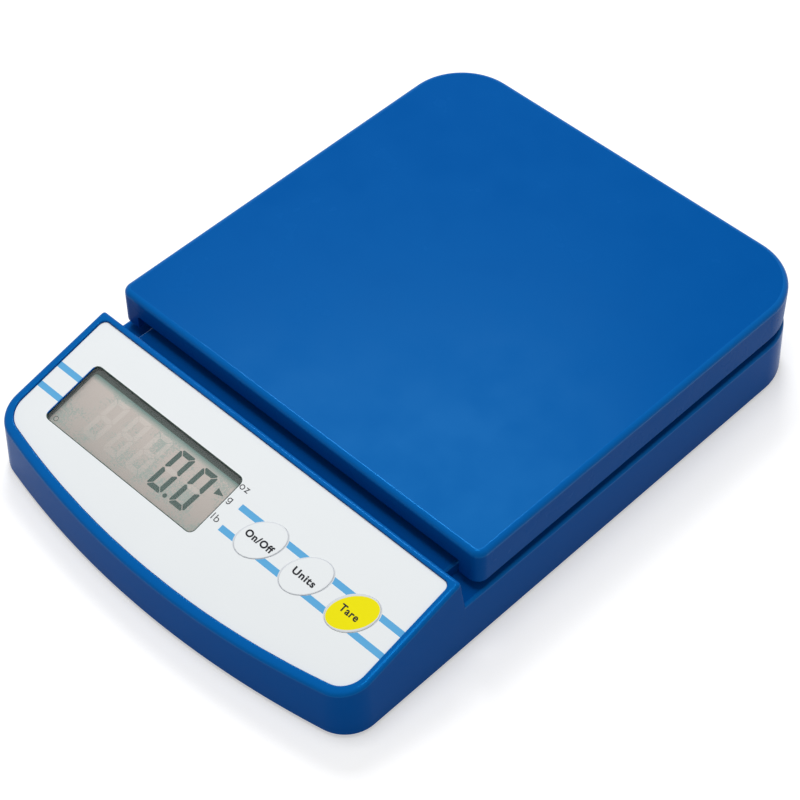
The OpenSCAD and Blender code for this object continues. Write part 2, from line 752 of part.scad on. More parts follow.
// One cell along x, with its button to the right where s is 1
module aa_cell(i, s) {
  body_l = aa_l - 1;
  color("#3c6f9e") translate([0, aa_y(i), aa_z]) rotate([0, s * 90, 0]) translate([0, 0, -aa_l / 2]) {
    cylinder(r = aa_r, h = body_l);
    translate([0, 0, body_l]) cylinder(r = 2.7, h = 1);
  }
}

module battery_1() { aa_cell(0, 1); }
module battery_2() { aa_cell(1, -1); }
module battery_3() { aa_cell(2, 1); }

// Conical spring that presses on a cell's flat end, drawn in towards the cell
module contact_spring(s) {
  turns = 4;
  gap = bay_in_l / 2 - 0.6 - aa_l / 2 - 0.35;
  path = [for (k = [0:10 * turns]) let (t = k / (10 * turns), a = 36 * k, r = 4.6 - 2 * t)
    [s * (bay_in_l / 2 - 0.6 - 0.3 - (gap - 0.3) * t), r * cos(a), r * sin(a)]];
  wire(path, 0.3, [1, 0, 0], 6);
}

module battery_springs() {
  color("#c9cbce") for (i = [0:2]) translate([0, aa_y(i), aa_z]) contact_spring(i == 1 ? 1 : -1);
}

module battery_plates() {
  color("#c9cbce") for (i = [0:2], s = [-1, 1])
    translate([s * (bay_in_l / 2 - 0.3) - 0.25, aa_y(i) - 6, aa_z - 6]) cube([0.5, 12, 12]);
}

module dc_inlet() {
  face = rear_y - 0.6;
  inside = rear_y - case_wall_foot - 0.3;
  color("#1b1b1d") difference() {
    union() {
      translate([inlet_x - 4.5, inside - 13.5, floor_top + 0.1]) cube([9, 13.5, 11]);
      translate([inlet_x, face, inlet_z]) rotate([90, 0, 0]) cylinder(r = 4.1, h = 4);
    }
    translate([inlet_x, face + 1, inlet_z]) rotate([90, 0, 0]) cylinder(r = inlet_r, h = 11);
  }
  color("silver") translate([inlet_x, face - 1, inlet_z]) rotate([90, 0, 0]) cylinder(r = 1, h = 10);
}

top_case();
bottom_case();
foot_front_left();
foot_front_right();
foot_rear_left();
foot_rear_right();
case_screws();
overlay();
display_window();
display_gasket();
lcd_glass();
lcd_frame();
lcd_connector();
main_board();
board_screws();
processor();
converter_chip();
board_parts();
cable_sockets();
cable_plugs();
switch_on_off();
switch_units();
switch_tare();
plunger_on_off();
plunger_units();
plunger_tare();
key_on_off();
key_units();
key_tare();
load_cell();
gauge_covers();
lower_spacer();
upper_spacer();
base_screws();
carrier_screws();
overload_stop();
load_cell_cable();
pan_carrier();
pan_cushions();
pan();
battery_door();
battery_1();
battery_2();
battery_3();
battery_springs();
battery_plates();
battery_leads();
dc_inlet();
inlet_leads();
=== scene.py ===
# %% [markdown]
# # A compact balance, dressed for its photograph
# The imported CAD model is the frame: every solid already stands where it belongs, in metres.
# This lesson gives rounded edges, print and finish to the pieces that show, and lights them.
# A maker's drawing is read in millimetres, so lengths are written as a number times MM.

# %% Load the frame
from math import asin, cos, degrees, radians, sin, sqrt, tan

import bmesh
import bpy
from mathutils import Matrix, Vector


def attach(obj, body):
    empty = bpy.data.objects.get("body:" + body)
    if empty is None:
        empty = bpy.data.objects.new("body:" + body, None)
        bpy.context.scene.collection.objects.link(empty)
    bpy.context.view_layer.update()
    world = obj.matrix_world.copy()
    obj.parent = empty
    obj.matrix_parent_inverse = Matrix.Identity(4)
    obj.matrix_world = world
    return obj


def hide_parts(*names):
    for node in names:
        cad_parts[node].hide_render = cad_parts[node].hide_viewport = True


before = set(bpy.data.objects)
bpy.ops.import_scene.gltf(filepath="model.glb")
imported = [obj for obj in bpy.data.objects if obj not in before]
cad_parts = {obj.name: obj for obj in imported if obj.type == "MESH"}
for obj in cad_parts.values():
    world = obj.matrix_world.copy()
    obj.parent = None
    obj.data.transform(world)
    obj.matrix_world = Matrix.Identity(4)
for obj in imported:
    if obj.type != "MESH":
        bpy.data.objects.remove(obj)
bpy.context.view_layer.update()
MM = 0.001

# %% [markdown]
# ## The camera
# A camera can be placed by eye, but straight edges of the case in the photograph fix it better:
# they were measured, and the place, turn and focal length that fit them best are used here.

# %% Camera
def in_scene(name, data):
    """Makes an object of some data and links it to the scene."""
    made = bpy.data.objects.new(name, data)
    bpy.context.scene.collection.objects.link(made)
    return made


camera_data = bpy.data.cameras.new("camera")
camera_data.sensor_width, camera_data.lens = 36, 106.88
camera_data.clip_start, camera_data.clip_end = 0.01, 50
camera = in_scene("camera", camera_data)
camera.location = (0.32852, -0.33481, 0.53891)
camera.rotation_euler = (radians(41.3462), radians(0.2137), radians(44.1900))
bpy.context.scene.camera = camera
bpy.context.scene.view_settings.view_transform = "Standard"
print("camera", round(camera.location.length, 3), "m from the origin")

# %% [markdown]
# ## Colours and nodes
# Colours are written as the sRGB hex values that a screen shows. Blender computes with linear
# light, so one function turns them. Another adds a node with its settings and links, and every
# material below is built with it. A third tells kinds of light rays apart, for the clear window
# and for the white room.

# %% Colour and node helpers
def srgb(text):
    """Linear RGBA of a hex colour such as '0557a6'."""
    parts = [int(text[i:i + 2], 16) / 255 for i in (0, 2, 4)]
    return [c / 12.92 if c < 0.04045 else ((c + 0.055) / 1.055) ** 2.4 for c in parts] + [1]


def add_node(tree, kind, sockets, **settings):
    """Adds a shader node; sockets maps an input's name or number to a value, or to the output or node
    whose first output feeds it."""
    node = tree.nodes.new("ShaderNode" + kind)
    for name, value in settings.items():
        setattr(node, name, value)
    for name, value in sockets.items():
        if isinstance(value, bpy.types.Node):
            value = value.outputs[0]
        if isinstance(value, bpy.types.NodeSocket):
            tree.links.new(value, node.inputs[name])
        else:
            node.inputs[name].default_value = value
    return node


def empty_tree(owner):
    """The cleared node tree of a material or a world."""
    owner.use_nodes = True
    owner.node_tree.nodes.clear()
    return owner.node_tree


def any_ray(tree, *kinds):
    """What is 1 for rays of any of these kinds, and 0 for the others."""
    rays = add_node(tree, "LightPath", {})
    found = rays.outputs[kinds[0]]
    for kind in kinds[1:]:
        found = add_node(tree, "Math", {0: found, 1: rays.outputs[kind]}, operation="MAXIMUM")
    return found


# %% [markdown]
# ## Moulded, milled and printed surfaces
# A moulded part takes the texture of its mould: spark or stone marks a fraction of a millimetre
# across. A noise of that size drives a slight bump, and a slow one lets gloss and colour drift a
# little, as they do on any real part. Object coordinates are in metres, so a noise's scale is one
# over the size of its marks. Marks under 0.3 mm can't show at this distance, so none are finer.

# %% Surface with grain and drift
def surface(name, colour, shade, roughness, grain=0.4, relief=0.01, spread=0.04, stretch=(1, 1, 1), **shine):
    """A Principled surface: grain and relief in mm, and spread says how far its roughness drifts."""
    made = bpy.data.materials.new(name)
    tree = empty_tree(made)
    place = add_node(tree, "TexCoord", {})
    stretched = add_node(tree, "Mapping", {"Vector": place.outputs["Object"], "Scale": stretch})
    slow = add_node(tree, "TexNoise",
                    {"Vector": place.outputs["Object"], "Scale": 1 / (14 * MM), "Detail": 4.0})
    fine = add_node(tree, "TexNoise",
                    {"Vector": stretched, "Scale": 1 / (grain * MM), "Detail": 2.0})
    tint = add_node(tree, "Mix", {0: slow, 6: srgb(shade), 7: srgb(colour)},
                    data_type="RGBA")
    gloss = add_node(tree, "MapRange",
                     {"Value": slow, "From Min": 0.3, "From Max": 0.7,
                      "To Min": roughness - spread, "To Max": roughness + spread})
    bump = add_node(tree, "Bump",
                    {"Strength": 0.5, "Distance": relief * MM, "Height": fine})
    shader = add_node(tree, "BsdfPrincipled",
                      {"Base Color": tint.outputs[2], "Roughness": gloss, "Normal": bump, **shine})
    add_node(tree, "OutputMaterial", {"Surface": shader})
    return made


# %% [markdown]
# ## The list of finishes
# Each is named for the real material. ABS has an index of about 1.53 and comes out of a fine
# spark-eroded mould with a satin face. Pigment close under that face tints its sheen blue, and a
# trace of Metallic gives that tint, while a low specular level keeps the walls from greying. The
# rounded edges are smoother, and a lighter blue on them is a painted highlight, so that a crisp
# line of light runs along them, and the pan's top is worn smoother, so that the eye finds a soft
# sheen on it. The front film is polyester with a matt hard coat, and its inks are a little duller
# still. Metals keep the default index, because a Metallic of 1 takes their shine from the base
# colour alone.

# %% Finishes
SATIN = {"IOR": 1.53, "Specular IOR Level": 0.015, "Specular Tint": srgb("00c4ff"), "Metallic": 0.02}
WORN = {"IOR": 1.53, "Specular IOR Level": 0.035, "Specular Tint": srgb("00ffff"), "Metallic": 0.02}
POLISH = {"IOR": 1.53, "Specular IOR Level": 0.08, "Specular Tint": srgb("40e8ff"), "Metallic": 0.05}
PRINT = {"IOR": 1.5, "Specular IOR Level": 0.08}
case_abs = surface("moulded ABS, blue", "0354a2", "0351a0", 0.21, relief=0.003, **SATIN)
pan_abs = surface("moulded ABS, blue, pan", "03529f", "02509d", 0.28, relief=0.003, **SATIN)
# A lighter blue than the case's, for the rounded edges: it paints a highlight there, on a glossier finish.
glossy_edge_painted_highlight = surface("moulded ABS, blue, glossy edge, painted highlight", "0860ae", "075dab", 0.12, relief=0.0, spread=0.02,
                       **POLISH)
worn_abs = surface("moulded ABS, blue, worn smooth", "00529f", "00509d", 0.24, relief=0.004, **WORN)
film_white = surface("polyester film, matt white", "eff3f5", "edf1f3", 0.5, 0.3, 0.004, **PRINT)
ink_pale_blue = surface("screen ink, pale blue", "63b0e2", "60ade0", 0.55, 0.3, 0.004, **PRINT)
# Dark grey-green for the window's thin border on the film, and for the display's border, whose wider rear
# part is painted shadow.
dark_border_and_shadow = surface("dark window border and painted shadow", "43544f", "3e4e4a", 0.55, 0.3, 0.004, **PRINT)
# Light grey that paints the shade of the keys' raised edges, round them on the film and on the caps' bevels.
grey_key_edge_shade = surface("light grey, painted shade of key edges", "dde1e5", "d9dde2", 0.55, 0.3, 0.004, **PRINT)
ink_yellow = surface("screen ink, yellow", "f6ec04", "f3e802", 0.5, 0.3, 0.004, **PRINT)
ink_black = surface("screen ink, black", "2b2c31", "26272c", 0.6, 0.3, 0.004, **PRINT)
polariser = surface("polariser film over glass", "d7c4c0", "ccbab6", 0.35, 0.5, 0.002, **PRINT)
liquid_crystal = surface("liquid crystal, driven dark", "3b5550", "364e49", 0.4, 0.5, 0.002, **PRINT)
liquid_crystal_off = surface("liquid crystal, at rest", "decdc9", "d8c7c3", 0.4, 0.5, 0.002, **PRINT)
gasket_foam = surface("foam gasket, dark", "3c4a47", "36423f", 0.8, 0.5, 0.03)
foot_rubber = surface("moulded rubber, black", "2a2b2d", "242527", 0.75, 0.5, 0.02)
zinc_steel = surface("zinc plated steel", "b9bcc0", "aeb2b8", 0.32, 0.3, 0.004, Metallic=1.0)
nickel_steel = surface("nickel plated steel", "c8c7c2", "bdbcb6", 0.22, 0.3, 0.002, Metallic=1.0)
milled_aluminium = surface("milled aluminium", "c9cbce", "bfc2c6", 0.35, 0.3, 0.006,
                           stretch=(0.08, 1, 1), Metallic=1.0)
solder_mask = surface("green solder mask", "1a6b3c", "155c33", 0.3, 0.5, 0.004)
epoxy_black = surface("moulded epoxy, black", "1e1f21", "191a1b", 0.6, 0.3, 0.01)
nylon_white = surface("moulded nylon, white", "ecebe4", "e4e3da", 0.45, 0.4, 0.006)
nylon_black = surface("moulded nylon, black", "232325", "1c1c1e", 0.5, 0.4, 0.008)
elastomer = surface("zebra elastomer", "35363a", "2c2d30", 0.7, 0.3, 0.01)
silicone_white = surface("silicone coating, white", "f0efea", "e6e5df", 0.6, 0.8, 0.03)
pvc_grey = surface("PVC cable jacket, grey", "c2c2be", "b8b8b4", 0.5, 0.5, 0.008)
pvc_black = surface("PVC wire insulation, black", "1f1f21", "19191a", 0.45, 0.5, 0.005)
carrier_abs = surface("moulded ABS, mid blue", "2a5fa5", "255797", 0.5, **SATIN)
print(len(bpy.data.materials), "finishes")

# %% [markdown]
# ## Clear acrylic
# The window is a cast acrylic pane, index 1.49. Light that has to pass glass on its way from a
# lamp is hard to find for a path tracer, so rays that test for shadow, and those that the display
# scatters, go straight through, which lights the display behind as the real pane would.

# %% Clear window
clear_acrylic = bpy.data.materials.new("clear acrylic")
clear_tree = empty_tree(clear_acrylic)
pane_thin = any_ray(clear_tree, "Is Shadow Ray", "Is Diffuse Ray")
pane_glass = add_node(clear_tree, "BsdfPrincipled",
                      {"Base Color": srgb("fbfdfc"), "Roughness": 0.03, "IOR": 1.49,
                       "Specular IOR Level": 0.2, "Transmission Weight": 1.0})
pane_open = add_node(clear_tree, "BsdfTransparent", {"Color": srgb("f6faf8")})
pane_mix = add_node(clear_tree, "MixShader",
                    {0: pane_thin, 1: pane_glass, 2: pane_open})
add_node(clear_tree, "OutputMaterial", {"Surface": pane_mix})
print("clear window:", len(clear_tree.nodes), "nodes")

# %% [markdown]
# ## Outlines with a pen
# Most of this object's pieces start as a flat outline of lines and arcs. A single vertex is the
# pen: extruding it draws a line, and spinning it about a centre draws an arc, so no list of
# points has to be worked out. The outline is drawn flat at z = 0, in millimetres, and then set
# in place with a matrix.

# %% Pen, outline and face
def up_by(height):
    """Matrix that lifts by a height in mm."""
    return Matrix.Translation((0, 0, height * MM))


def corners_of(edges):
    """The vertices of some edges, each once, and in the same order in every run, unlike a set's."""
    return list(dict.fromkeys(v for e in edges for v in e.verts))


def draw(bm, start, moves, matrix=Matrix.Identity(4)):
    """Draws a closed outline and returns its edges. A move is (x, y) or (x, y, turn, steps) about (x, y)."""
    old = set(bm.edges)
    pen = bm.verts.new((start[0] * MM, start[1] * MM, 0))
    for move in moves:
        at = Vector((move[0] * MM, move[1] * MM, 0))
        if len(move) == 2:
            pen = bmesh.ops.extrude_vert_indiv(bm, verts=[pen])["verts"][0]
            pen.co = at
        else:
            made = bmesh.ops.spin(bm, geom=[pen], cent=at, axis=(0, 0, 1), angle=radians(move[2]),
                                  steps=move[3], use_merge=False)
            pen = next(v for v in made["geom_last"] if isinstance(v, bmesh.types.BMVert))
    edges = [e for e in bm.edges if e not in old]
    bmesh.ops.remove_doubles(bm, verts=corners_of(edges), dist=0.001 * MM)
    edges = [e for e in bm.edges if e not in old]
    bmesh.ops.transform(bm, matrix=matrix, verts=corners_of(edges))
    return edges


def facing(face, up):
    """Turns a face so that it looks up, and returns it."""
    face.normal_update()
    if face.normal.dot(Vector(up)) < 0:
        face.normal_flip()
    return face


def fill(bm, edges, up=(0, 0, 1)):
    """One face inside an outline, facing up."""
    return facing(bmesh.ops.contextual_create(bm, geom=edges)["faces"][0], up)


def fill_round_holes(bm, edges, up):
    """Faces between an outline and the holes inside it, facing up."""
    made = bmesh.ops.triangle_fill(bm, edges=edges, use_beauty=True, use_dissolve=False, normal=up)["geom"]
    return [facing(f, up) for f in made if isinstance(f, bmesh.types.BMFace)]


def grow(bm, face, inward, rise):
    """Moves a face up along its normal and in from its edges, leaving walls behind it."""
    bmesh.ops.inset_region(bm, faces=[face], thickness=inward * MM, depth=rise * MM,
                           use_even_offset=True, use_boundary=True)
    return face


def thicken(bm, step):
    """Makes a sheet of flat faces: a copy of them moves by a step and walls join the two."""
    copied = bmesh.ops.extrude_face_region(bm, geom=bm.faces[:])["geom"]
    bmesh.ops.translate(bm, verts=[v for v in copied if isinstance(v, bmesh.types.BMVert)], vec=step)
    bmesh.ops.recalc_face_normals(bm, faces=bm.faces)


def round_edges(bm, edges, radius, segments, finish=-1):
    """Rounds edges to a radius in mm; finish is the number of the material that the rounding gets."""
    bmesh.ops.bevel(bm, geom=list(edges), offset=radius * MM, offset_type="OFFSET", segments=segments,
                    profile=0.5, affect="EDGES", material=finish)
    bm.normal_update()


def plate(w, l, r, x=0, y=0, steps=6):
    """Outline of a rounded rectangle about (x, y)."""
    a, b = w / 2, l / 2
    return (x - a + r, y - b), [
        (x + a - r, y - b), (x + a - r, y - b + r, 90, steps), (x + a, y + b - r),
        (x + a - r, y + b - r, 90, steps), (x - a + r, y + b), (x - a + r, y + b - r, 90, steps),
        (x - a, y - b + r), (x - a + r, y - b + r, 90, steps)]


# %% [markdown]
# ## Joining and cutting solids
# A moulding with bosses and openings is easiest to think of as closed blocks that are joined and
# cut. Each block is rounded first, while its edges are still simple, and then an exact boolean
# makes one clean solid. The block's floor is closed before that, because a boolean needs to know
# what is inside, and both blocks get the same list of finishes, so that a rounded edge keeps its
# finish's number. What a plane can cut off needs no boolean.

# %% Closed blocks and booleans
def close(bm):
    """Closes what is open and turns the faces outward."""
    bmesh.ops.holes_fill(bm, edges=[e for e in bm.edges if e.is_boundary], sides=0)
    bmesh.ops.recalc_face_normals(bm, faces=bm.faces)


def prism(bm, outline, low, high, place=Matrix.Identity(4)):
    """Adds a closed block on an outline, from low to high along the outline's own z, in mm."""
    old = set(bm.verts)
    grow(bm, fill(bm, draw(bm, *outline, up_by(low))), 0, high - low)
    close(bm)
    bmesh.ops.transform(bm, matrix=place, verts=[v for v in bm.verts if v not in old])


def disc(radius, x=0, y=0, steps=32):
    """Outline of a circle about (x, y)."""
    return (x + radius, y), [(x, y, 360, steps)]


def cut_along(bm, point, normal, clear=False):
    """Cuts a mesh along a plane and returns the new edges; clear removes what lies above the plane."""
    made = bmesh.ops.bisect_plane(bm, geom=bm.verts[:] + bm.edges[:] + bm.faces[:], plane_co=point,
                                  plane_no=normal, clear_outer=clear)
    return [e for e in made["geom_cut"] if isinstance(e, bmesh.types.BMEdge)]


def combined(first, second, how, crossing=False):
    """The solid that a boolean makes of two bmeshes, which it uses up; crossing if blocks of one cross."""
    made = []
    for bm in (first, second):
        mesh = bpy.data.meshes.new("block")
        bm.to_mesh(mesh)
        bm.free()
        for finish in (case_abs, glossy_edge_painted_highlight, worn_abs):
            mesh.materials.append(finish)
        made.append(in_scene("block", mesh))
    cutter = made[0].modifiers.new("block", "BOOLEAN")
    cutter.operation, cutter.solver, cutter.object = how, "EXACT", made[1]
    cutter.use_self = crossing
    result = bmesh.new()
    result.from_object(made[0], bpy.context.evaluated_depsgraph_get())
    for block in made:
        bpy.data.meshes.remove(block.data)
    return result


# %% [markdown]
# ## From mesh to piece
# A finished piece is sorted first, because some operators leave a mesh in another order in each
# run. It is shaded smooth, with its sharp edges kept, and a weighted normal modifier makes its
# large faces look flat right up to their rounded edges. Then it is tied to the body it rides on,
# and the CAD solids that it stands for are hidden.

# %% Piece helper
def sort_by_place(bm):
    """Puts the vertices, edges and faces in the order of their places."""
    for parts, place in ((bm.verts, lambda v: v.co), (bm.edges, lambda e: e.verts[0].co + e.verts[1].co),
                         (bm.faces, lambda f: f.calc_center_median())):
        ranked = sorted(parts, key=lambda part: [round(c / MM, 4) for c in place(part)])
        parts.sort(key={part: rank for rank, part in enumerate(ranked)}.get)


def piece(bm, name, body, finishes, stands_for=()):
    """Turns a bmesh into an object that rides on a body, and ends the bmesh."""
    sort_by_place(bm)
    mesh = bpy.data.meshes.new(name)
    bm.to_mesh(mesh)
    bm.free()
    for finish in finishes:
        mesh.materials.append(finish)
    mesh.shade_smooth()
    mesh.set_sharp_from_angle(angle=radians(35))
    made = in_scene(name, mesh)
    made.modifiers.new("even shading", "WEIGHTED_NORMAL").keep_sharp = True
    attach(made, body)
    if stands_for:
        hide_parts(*stands_for)
    print(f"{name}: {len(mesh.vertices)} vertices")


# %% [markdown]
# ## The numbers of the case
# These repeat the drawing's: the outline is 147 mm wide, bowed at the front, and the panel is a
# plane that slopes 14.7 degrees down from the console's rear edge. A material's number in a piece's
# list says which finish a face has: 0 is the moulding's own.

# %% Numbers and the panel's place
HALF_WIDTH, FRONT_Y, REAR_Y, FOOT = 73.5, -103.2, 103.2, 1.5
BOW_R, CORNER_R, REAR_R = 296, 11, 20
CONSOLE_Y, CONSOLE_Z, CONSOLE_R, SLOPE = -50.5, 30.4, 2, 14.7
DRAFT = 0.036
# Finish 1 of a piece is the lighter blue that paints a highlight along rounded edges; 2 is the pan's
# smoother top.
EDGE_HIGHLIGHT, WORN_TOP = 1, 2
ALONG, DOWN = cos(radians(SLOPE)), sin(radians(SLOPE))
CORNER_X = HALF_WIDTH - CORNER_R
BOW_Y = FRONT_Y + BOW_R
CORNER_Y = BOW_Y - sqrt((BOW_R - CORNER_R) ** 2 - CORNER_X ** 2)
BOW_TURN = degrees(asin(CORNER_X / (BOW_R - CORNER_R)))
PAN_MID_Y = 29.55


def console_outline(inset, rear_y):
    """The console's outline in plan, moved inward, ending at rear_y."""
    side, r = HALF_WIDTH - inset, CONSOLE_R
    return (-side, CORNER_Y), [
        (-CORNER_X, CORNER_Y, 90 - BOW_TURN, 12), (0, BOW_Y, 2 * BOW_TURN, 40),
        (CORNER_X, CORNER_Y, 90 - BOW_TURN, 12), (side, rear_y - r), (side - r, rear_y - r, 90, 5),
        (r - side, rear_y), (r - side, rear_y - r, 90, 5), (-side, CORNER_Y)]


def on_panel(depth):
    """Matrix from the panel's own frame, depth mm under the rim, to the object's."""
    return (Matrix.Translation((0, CONSOLE_Y * MM, CONSOLE_Z * MM)) @ Matrix.Rotation(radians(SLOPE), 4, "X")
            @ up_by(-depth))


def over_panel(depth):
    """Matrix that lifts an outline drawn in plan straight up to the panel, depth mm under the rim."""
    lift = Matrix.Identity(4)
    lift[2][1] = tan(radians(SLOPE))
    lift[2][3] = (CONSOLE_Z - CONSOLE_Y * tan(radians(SLOPE))) * MM
    return Matrix.Translation(Vector((0, DOWN, -ALONG)) * depth * MM) @ lift


panel = on_panel(0)
panel_up = Vector((0, -DOWN, ALONG))
print("corner centre at y =", round(CORNER_Y, 2), "mm, bow turns", round(2 * BOW_TURN, 1), "degrees")

# %% [markdown]
# ## Window and keys on the panel
# The window is a rounded rectangle: its width, length, corner radius and middle are the numbers
# that plate() takes. A key is an oval turned 47 degrees, and one matrix makes it of a circle. Both
# cut holes in the case and in the film, and shape the pieces that fill them.

# %% Outlines on the panel
WINDOW = (62.3, 21.5, 1.8, -29.2, -25)
KEY_X, KEY_PITCH, KEY_V, KEY_TURN = 19.3, 17.8, -24.8, 47
KEY_LONG, KEY_SHORT = 7.7, 5.6


def key_middle(number):
    """Matrix to a key's middle on the panel."""
    return Matrix.Translation(((KEY_X + KEY_PITCH * number) * MM, KEY_V * MM, 0))


def oval(number, spare, longer=0.0, turn=KEY_TURN):
    """Matrix from a circle of 1 mm radius to a key's oval, grown by spare, and by longer in its length."""
    return (key_middle(number) @ Matrix.Rotation(radians(turn), 4, "Z")
            @ Matrix.Diagonal((KEY_LONG + spare + longer, KEY_SHORT + spare, 1, 1)))


print("keys at x =", [round(KEY_X + KEY_PITCH * number, 1) for number in range(3)], "mm")


# %% [markdown]
# ## The top case, outside
# The real one is a single ABS moulding with walls of 2.1 mm. Its console and its body are made as
# two closed blocks. The body's outline grows up the drafted wall to the ledge, in over the ledge
# and up to the deck. Inside the console it is a little narrower, so that the two never show one
# face on top of the other. The deck's edge is rounded by 0.8 mm and the wall's upper edge by 1 mm.

# %% Body block
BODY_FRONT, NARROWER, NARROW_RUN = -58, 1, 9
WALL_RISE, LEDGE_WIDTH, DECK_DRAFT, DECK_RISE = 17.4, 9.87, 0.2, 3.8
DECK_REAR, DECK_FRONT = 0.5, -7
REAR_PART, FRONT_PART = 80, -45
DECK_SIDE, DECK_END = 64, 93.5


def body_outline(inset, front_y, narrower=0.0):
    """The body's outline behind the console, narrower at its front, which the console hides."""
    side, rear_y, r, full_y = HALF_WIDTH - inset, REAR_Y - inset, REAR_R - inset, front_y + NARROW_RUN
    return (narrower - side, front_y), [
        (side - narrower, front_y), (side, full_y), (side, rear_y - r), (side - r, rear_y - r, 90, 16),
        (r - side, rear_y), (r - side, rear_y - r, 90, 16), (-side, full_y), (narrower - side, front_y)]


body = bmesh.new()
roof = fill(body, draw(body, *body_outline(0, BODY_FRONT, NARROWER), up_by(FOOT)))
grow(body, roof, DRAFT * WALL_RISE, WALL_RISE)
wall_top = roof.calc_center_median().z
grow(body, roof, LEDGE_WIDTH, 0)
at_rear = [v for v in roof.verts if v.co.y > REAR_PART * MM]
at_front = [v for v in roof.verts if v.co.y < FRONT_PART * MM]
bmesh.ops.translate(body, verts=at_rear, vec=(0, DECK_REAR * MM, 0))
bmesh.ops.translate(body, verts=at_front, vec=(0, DECK_FRONT * MM, 0))
grow(body, roof, DECK_DRAFT, DECK_RISE)
# The deck's edge and the wall's upper edge get the lighter blue that paints a highlight on them.
round_edges(body, roof.edges, 0.8, 4, EDGE_HIGHLIGHT)
wall_edges = [e for e in body.edges if len(e.link_faces) == 2 and e.calc_face_angle() > 1
              and all(abs(v.co.z - wall_top) < 1e-6 for v in e.verts)
              and (abs(e.verts[0].co.x) > DECK_SIDE * MM or e.verts[0].co.y > DECK_END * MM)]
round_edges(body, wall_edges, 1.0, 5, EDGE_HIGHLIGHT)
close(body)
print("body block:", len(body.faces), "faces")

# %% [markdown]
# The console starts as a tall drafted block. Its rear wall leans forward, and one plane cuts it
# off along the panel. The rim is a ring round the recess that the front film lies in. It rises by
# 0.3 mm from its outer edge to a crest, and is flat from there to the recess. All these outlines
# have as many vertices, so bridges join them. The outer edge is rounded by 0.8 mm, as moulded
# edges that a hand meets are, and the inner one by less than half of that.

# %% Console block
RECESS, RIM_W, RIM_REAR, RIM_FALL = 0.95, 3.35, 2.05, 0.3
CREST_W, CREST_REAR = 1.9, 1.05
BLOCK_TALL, BLOCK_REAR, BLOCK_LEAN, BLOCK_SPARE = 40, 4.7, 5.07, 0.02
BEHIND_PANEL = -60

console = bmesh.new()
top = fill(console, draw(console, *console_outline(-BLOCK_SPARE, CONSOLE_Y + BLOCK_REAR), up_by(FOOT)))
grow(console, top, DRAFT * BLOCK_TALL, BLOCK_TALL)
at_rear = [v for v in top.verts if v.co.y > BEHIND_PANEL * MM]
bmesh.ops.translate(console, verts=at_rear, vec=(0, -BLOCK_LEAN * MM, 0))
close(console)
rim = cut_along(console, on_panel(RIM_FALL).translation, panel_up, clear=True)
crest = draw(console, *console_outline(CREST_W, CONSOLE_Y - CREST_REAR * ALONG), over_panel(0))
bmesh.ops.bridge_loops(console, edges=rim + crest)
recess = console_outline(RIM_W, CONSOLE_Y - RIM_REAR * ALONG)
lip = draw(console, *recess, over_panel(0))
bmesh.ops.bridge_loops(console, edges=crest + lip)
sill = draw(console, *recess, over_panel(RECESS))
bmesh.ops.bridge_loops(console, edges=lip + sill)
# The rim's roundings and its top on both sides of the crest get the lighter blue that paints a highlight
# along the rim.
round_edges(console, rim, 0.8, 5, EDGE_HIGHLIGHT)
for face in [f for e in crest if e.is_valid for f in e.link_faces]:
    face.material_index = EDGE_HIGHLIGHT
round_edges(console, [e for e in lip if e.is_valid], 0.35, 3, EDGE_HIGHLIGHT)
close(console)
print("console block:", len(console.faces), "faces, rim of", len(rim), "edges")

# %% [markdown]
# ## The top case, inside
# Three blocks make the hollow: under the ledge, under the deck and in the console. The bosses for
# the case's and the board's screws are taken out of it again, so they stay in the case.

# %% Hollow and bosses
CASE_SCREWS = [(s * x, y) for s in (-1, 1) for x, y in ((48, -91.6), (56, -40), (30, 85))]
BOARD_SCREWS = [(-52, -8.4), (-10, -8.4), (61.5, -8.6), (61.5, -37), (10.5, -37)]
CASE_BOSS, CASE_BOSS_LOW, BOARD_BOSS, BOARD_BOSS_LOW = 3.4, 8.1, 2.3, -9.5
WALL_IN, WALL_ROOF = 2.6, 16.8
DECK_IN, DECK_LOW, DECK_ROOF = 12.6, 13.9, 20.6
CONSOLE_IN, CONSOLE_REAR_IN, CONSOLE_ROOF = 2.8, 2.4, 2.9
BEYOND = 40

hollow = bmesh.new()
prism(hollow, body_outline(WALL_IN, -57), 0, WALL_ROOF)
under_deck = bmesh.new()
prism(under_deck, body_outline(DECK_IN, -63), DECK_LOW, DECK_ROOF)
hollow = combined(hollow, under_deck, "UNION")
in_console = bmesh.new()
prism(in_console, console_outline(CONSOLE_IN, CONSOLE_Y - CONSOLE_REAR_IN), 0, BEYOND)
cut_along(in_console, on_panel(CONSOLE_ROOF).translation, panel_up, clear=True)
close(in_console)
hollow = combined(hollow, in_console, "UNION")
bosses = bmesh.new()
for x, y in CASE_SCREWS:
    prism(bosses, disc(CASE_BOSS, x, y), CASE_BOSS_LOW, BEYOND)
for x, y in BOARD_SCREWS:
    prism(bosses, disc(BOARD_BOSS, x, y), BOARD_BOSS_LOW, 10, place=panel)
hollow = combined(hollow, bosses, "DIFFERENCE")
case = combined(combined(body, console, "UNION"), hollow, "DIFFERENCE")
print("hollow case:", len(case.faces), "faces")

# %% [markdown]
# The openings come last: the lens's seat, the screws' holes, a way through the deck for the load
# cell, and the inlet's hole in the rear wall. The blocks of one cut must not cross, so the window,
# which goes through inside the lens's seat, has a second one, with the keys' holes.

# %% Openings
LENS_SEAT, LENS_DEPTH = 3.2, 1.95
CASE_HOLE, BOARD_HOLE = 1.5, 1.1
CELL_OPENING = (32, 20, 3, 28.5, PAN_MID_Y)
INLET_X, INLET_Z, INLET_HOLE = 44, 9.5, 4.3
THROUGH, KEY_SPARE = (-8, 1), 0.15

